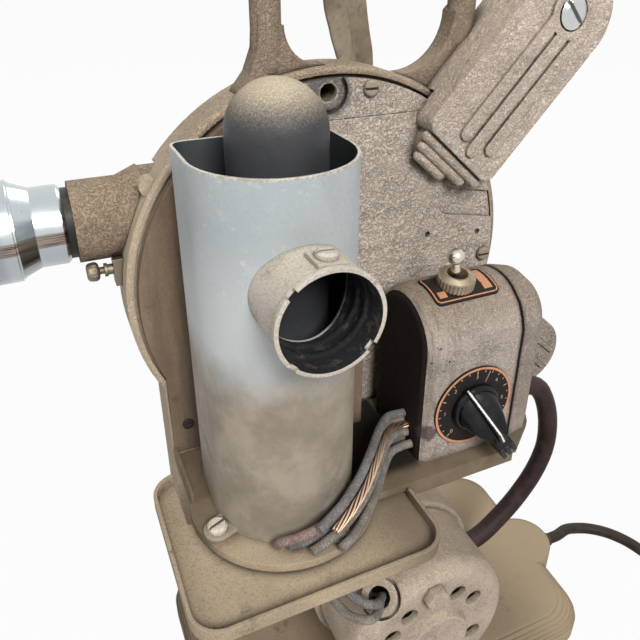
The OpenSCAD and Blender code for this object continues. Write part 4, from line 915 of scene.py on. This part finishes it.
# Printed marks, as flat shapes in mm
def ladder(steps):
    """Quads between pairs of points."""
    return [(2 * i, 2 * i + 1, 2 * i + 3, 2 * i + 2) for i in range(steps)]


def flat_ring(inner, outer, steps=96):
    points = []
    for i in range(steps + 1):
        a = 2 * math.pi * i / steps
        points += [(r * math.cos(a), r * math.sin(a)) for r in (inner, outer)]
    return points, ladder(steps)


def flat_marks(shapes):
    """Joins several lists of points and faces into one."""
    points, faces = [], []
    for shape_points, shape_faces in shapes:
        faces += [tuple(k + len(points) for k in face) for face in shape_faces]
        points += shape_points
    return points, faces


def tick(reach, width, length, angle):
    """A short line that points outwards, its middle at the reach from the dial's centre."""
    a = math.radians(angle)
    u, v = reach * math.cos(a), reach * math.sin(a)
    along = (math.cos(a) * length / 2, math.sin(a) * length / 2)
    side = (-math.sin(a) * width / 2, math.cos(a) * width / 2)
    corners = [(u + s * along[0] + t * side[0], v + s * along[1] + t * side[1])
               for s, t in ((-1, -1), (1, -1), (1, 1), (-1, 1))]
    return corners, [(0, 1, 2, 3)]


DIAL = (33, -32.2, 180)
DIAL_INK = 0.06
DIAL_RING = (21.6, 22.9)
DIAL_START = 225
DIAL_SWEEP = 270
DIAL_TICKS = 20
DIAL_NUMBERS = 6
TICK_REACH = 21
LONG_TICK = (17.6, 0.35, 6.5, 68)
NUMBER_REACH = 17.5
NUMBER_SIZE = 3.1


def make_dial_marks():
    """Orange ring, ticks, one long line and the numbers 0 to 6."""
    front = DIAL[1] - DIAL_INK

    def mark(name, points, faces, material):
        placed = [(DIAL[0] + u, front, DIAL[2] + v) for u, v in points]
        mesh_piece(name, placed, faces, material, "stand", "dial_black")

    mark("dial_ring", *flat_ring(*DIAL_RING), "orange")
    ticks = []
    for k in range(DIAL_TICKS + 1):
        length = 2.0 if k % 5 == 0 else 1.0
        angle = DIAL_START - DIAL_SWEEP / DIAL_TICKS * k
        ticks.append(tick(TICK_REACH - length / 2, 0.45, length, angle))
    ticks.append(tick(*LONG_TICK))
    mark("dial_ticks", *flat_marks(ticks), "peach")
    for k in range(DIAL_NUMBERS + 1):
        a = math.radians(DIAL_START - DIAL_SWEEP / DIAL_NUMBERS * k)
        text = bpy.data.curves.new("dial_number_%d" % k, "FONT")
        text.body = str(k)
        text.size = NUMBER_SIZE * MM
        text.align_x = "CENTER"
        text.align_y = "CENTER"
        number = add_piece("dial_number_%d" % k, text, "peach", "stand")
        number.rotation_euler = (math.radians(90), 0, 0)
        number.location = mm(DIAL[0] + NUMBER_REACH * math.cos(a), front,
                             DIAL[2] + NUMBER_REACH * math.sin(a))


make_dial_marks()


KNOB_GAP = 0.3
KNOB_TURN = math.radians(119)
LINE_HALF = 0.45
FLAT_AREA = 4e-6  # faces above this size, in square metres, aren't smoothed


def make_knob():
    """Bar knob: skirt, a cone that leans towards the grip, and a fin that widens into ribs."""
    build = bmesh.new()

    def place(along, side, out):
        return Vector((DIAL[0] + along * math.cos(KNOB_TURN) - side * math.sin(KNOB_TURN),
                       DIAL[1] - KNOB_GAP - out,
                       DIAL[2] + along * math.sin(KNOB_TURN) + side * math.cos(KNOB_TURN))) * MM

    def loft(rings, steps=48):
        """Rings of (centre along, centre out, radius along, radius across, tilt of the ring)."""
        rows = []
        for u, out, ru, rv, tilt in rings:
            angles = [2 * math.pi * k / steps for k in range(steps)]
            rows.append([build.verts.new(place(u + ru * math.cos(a), rv * math.sin(a),
                                               out - tilt * ru * math.cos(a))) for a in angles])
        for low, high in zip(rows, rows[1:]):
            for k in range(steps):
                build.faces.new((low[k], low[(k + 1) % steps], high[(k + 1) % steps], high[k]))
        build.faces.new(rows[0][::-1])
        build.faces.new(rows[-1])

    def prism(profile, half_widths, middle=0):
        """A fin: profile points (along, out) with a half width at each."""
        sides = [[build.verts.new(place(u, middle + way * w, out))
                  for (u, out), w in zip(profile, half_widths)] for way in (-1, 1)]
        left, right = sides
        for k in range(len(profile)):
            n = (k + 1) % len(profile)
            build.faces.new((left[k], left[n], right[n], right[k]))
        build.faces.new(left[::-1])
        build.faces.new(right)

    loft([(0, 0.0, 13.3, 13.3, 0), (0, 0.4, 13.5, 13.5, 0), (0, 2.2, 13.3, 13.3, 0),
          (0, 2.9, 12.8, 12.8, 0), (-0.3, 3.2, 12.2, 12.2, 0)])
    loft([(-0.3, 3.0, 12.0, 11.8, 0), (-1.0, 5.5, 11.3, 11.0, 0.12), (-2.2, 8.3, 10.2, 9.9, 0.24),
          (-3.8, 10.8, 8.8, 8.7, 0.36), (-5.6, 12.8, 7.2, 7.4, 0.46), (-7.4, 14.3, 5.6, 6.1, 0.5),
          (-9.0, 15.2, 4.0, 4.8, 0.4), (-10.2, 15.5, 2.4, 3.2, 0.2)])
    prism([(15.0, 1.0), (15.0, 4.0), (4.5, 11.5), (-6.0, 19.0), (-12.5, 18.6), (-12.5, 6.0),
           (-6, 1.0)], [1.6, 1.0, 1.1, 1.4, 2.2, 3.0, 2.6])
    prism([(-8.5, 7.0), (-8.5, 15.5), (-12.0, 18.2), (-20.0, 19.0), (-21.0, 17.0), (-21.0, 9.0),
           (-12.0, 5.0)], [3.4, 2.4, 3.6, 4.5, 4.5, 4.5, 4.2])
    for middle in (-3.3, 0, 3.3):
        prism([(-17.0, 8.5), (-17.0, 19.3), (-23.3, 18.9), (-23.3, 8.5)], [1, 1, 1, 1], middle)
    bmesh.ops.recalc_face_normals(build, faces=build.faces)
    data = bpy.data.meshes.new("bar_knob")
    build.to_mesh(data)
    build.free()
    for face in data.polygons:
        face.use_smooth = len(face.vertices) == 4 and face.area < FLAT_AREA
    knob = add_piece("bar_knob", data, "bakelite", "speed_knob")
    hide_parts("speed_knob")

    ridge = [(15.06, 2.4), (15.06, 4.06), (4.5, 11.58), (-6, 19.08), (-12.4, 18.7)]
    line = [tuple(place(u, side, out) / MM) for u, out in ridge for side in (-LINE_HALF, LINE_HALF)]
    mesh_piece("knob_line", line, ladder(len(ridge) - 1), "white", "speed_knob", "black_plastic")


make_knob()


# The switch plate lies on the box's vault: its axis, its printed face, its middle and its tilt
VAULT_Y = -5
VAULT_Z = 214
PLATE_FACE = 27.08
PLATE_X = 32.5
PLATE_TILT = 11
# Half width, half height and corner of the border's two outlines; corners of the boxes
BORDER = ((17.9, 10.0, 2.6), (17.2, 9.3, 1.9))
BOXES = ((-15.4, -7.4, -11.0, -3.6), (10.6, -7.4, 15.4, 7.4))


def make_switch_marks():
    """Orange border and two boxes printed on the curved switch plate."""

    def box(u0, v0, u1, v1):
        steps = max(1, round(abs(v1 - v0)))
        rows = [v0 + (v1 - v0) * i / steps for i in range(steps + 1)]
        return [(u, v) for v in rows for u in (u0, u1)], ladder(steps)

    def rounded(half_u, half_v, corner, steps=12):
        """Outline of a rounded box, its straight sides in steps so that it can bend."""
        arcs = []
        for su, sv, start in ((1, 1, 0), (-1, 1, 90), (-1, -1, 180), (1, -1, 270)):
            angles = [math.radians(start + 15 * k) for k in range(7)]
            arcs.append([(su * (half_u - corner) + corner * math.cos(a),
                          sv * (half_v - corner) + corner * math.sin(a)) for a in angles])
        line = []
        for i, arc in enumerate(arcs):
            last, to = arc[-1], arcs[(i + 1) % 4][0]
            line += arc + [(last[0] + (to[0] - last[0]) * k / steps,
                            last[1] + (to[1] - last[1]) * k / steps) for k in range(1, steps)]
        return line

    outer, inner = (rounded(*sizes) for sizes in BORDER)
    count = len(outer)
    border = [(k, (k + 1) % count, count + (k + 1) % count, count + k) for k in range(count)]
    points, faces = flat_marks([(outer + inner, border)] + [box(*corners) for corners in BOXES])
    placed = []
    for u, v in points:
        a = math.radians(PLATE_TILT) - v / PLATE_FACE
        placed.append((PLATE_X + u, VAULT_Y - PLATE_FACE * math.sin(a),
                       VAULT_Z + PLATE_FACE * math.cos(a)))
    mesh_piece("switch_marks", placed, faces, "orange", "stand", "dial_black")


make_switch_marks()


# Light, floor and backdrop, in metres and watts
SOFT_LIGHT = 0.13
FLOOR_HALF = 12
FLOOR_GREY = (0.35, 0.35, 0.35, 1)
FLOOR_GLOW = 0.955
LAMP_AIM = Vector((0, 0, 0.2))
# Place, size and power
LAMPS = {
    "key": ((-0.15, -1.8, 1.65), 1.0, 62),
    "left": ((-1.6, -0.5, 1.1), 0.8, 9),
    "back": ((0.8, 1.3, 1.5), 1.2, 18),
}


def mixed_rays(tree, seen, unseen):
    """Mixes two shaders: seen for camera, glossy and transmission rays, unseen for the rest."""
    path = tree.nodes.new("ShaderNodeLightPath")
    total = path.outputs["Is Camera Ray"]
    for key in ("Is Glossy Ray", "Is Transmission Ray"):
        either = tree.nodes.new("ShaderNodeMath")
        either.operation = "MAXIMUM"
        tree.links.new(total, either.inputs[0])
        tree.links.new(path.outputs[key], either.inputs[1])
        total = either.outputs[0]
    mix = tree.nodes.new("ShaderNodeMixShader")
    tree.links.new(total, mix.inputs[0])
    tree.links.new(unseen, mix.inputs[1])
    tree.links.new(seen, mix.inputs[2])
    return mix.outputs[0]


def make_world():
    """White behind the object, and a weak soft light on it."""
    world = bpy.data.worlds.new("studio")
    bpy.context.scene.world = world
    world.use_nodes = True
    tree = world.node_tree
    soft = tree.nodes["Background"]
    soft.inputs["Color"].default_value = (1, 1, 1, 1)
    soft.inputs["Strength"].default_value = SOFT_LIGHT
    white = tree.nodes.new("ShaderNodeBackground")
    white.inputs["Color"].default_value = (1, 1, 1, 1)
    white.inputs["Strength"].default_value = 1
    tree.links.new(mixed_rays(tree, white.outputs[0], soft.outputs[0]),
                   tree.nodes["World Output"].inputs["Surface"])


def make_floor():
    """Pale floor that the camera sees nearly white, with the object's shadow on it."""
    data = bpy.data.meshes.new("floor")
    h = FLOOR_HALF
    data.from_pydata([(-h, -h, 0), (h, -h, 0), (h, h, 0), (-h, h, 0)], [], [(0, 1, 2, 3)])
    floor = bpy.data.objects.new("floor", data)
    bpy.context.scene.collection.objects.link(floor)
    material = bpy.data.materials.new("pale_floor")
    material.use_nodes = True
    tree = material.node_tree
    matt = tree.nodes["Principled BSDF"]
    matt.inputs["Base Color"].default_value = FLOOR_GREY
    matt.inputs["Roughness"].default_value = 0.9
    glow = tree.nodes.new("ShaderNodeEmission")
    glow.inputs["Strength"].default_value = 1
    both = tree.nodes.new("ShaderNodeMixShader")
    both.inputs[0].default_value = FLOOR_GLOW
    tree.links.new(matt.outputs[0], both.inputs[1])
    tree.links.new(glow.outputs[0], both.inputs[2])
    tree.links.new(mixed_rays(tree, both.outputs[0], matt.outputs[0]),
                   tree.nodes["Material Output"].inputs["Surface"])
    data.materials.append(material)


def make_lamps():
    for name, (at, size, power) in LAMPS.items():
        data = bpy.data.lights.new(name, "AREA")
        data.shape = "DISK"
        data.size = size
        data.energy = power
        lamp = bpy.data.objects.new(name, data)
        lamp.location = at
        lamp.rotation_euler = (LAMP_AIM - Vector(at)).to_track_quat("-Z", "Y").to_euler()
        bpy.context.scene.collection.objects.link(lamp)


make_world()
make_floor()
make_lamps()
bpy.context.scene.view_settings.view_transform = "Standard"
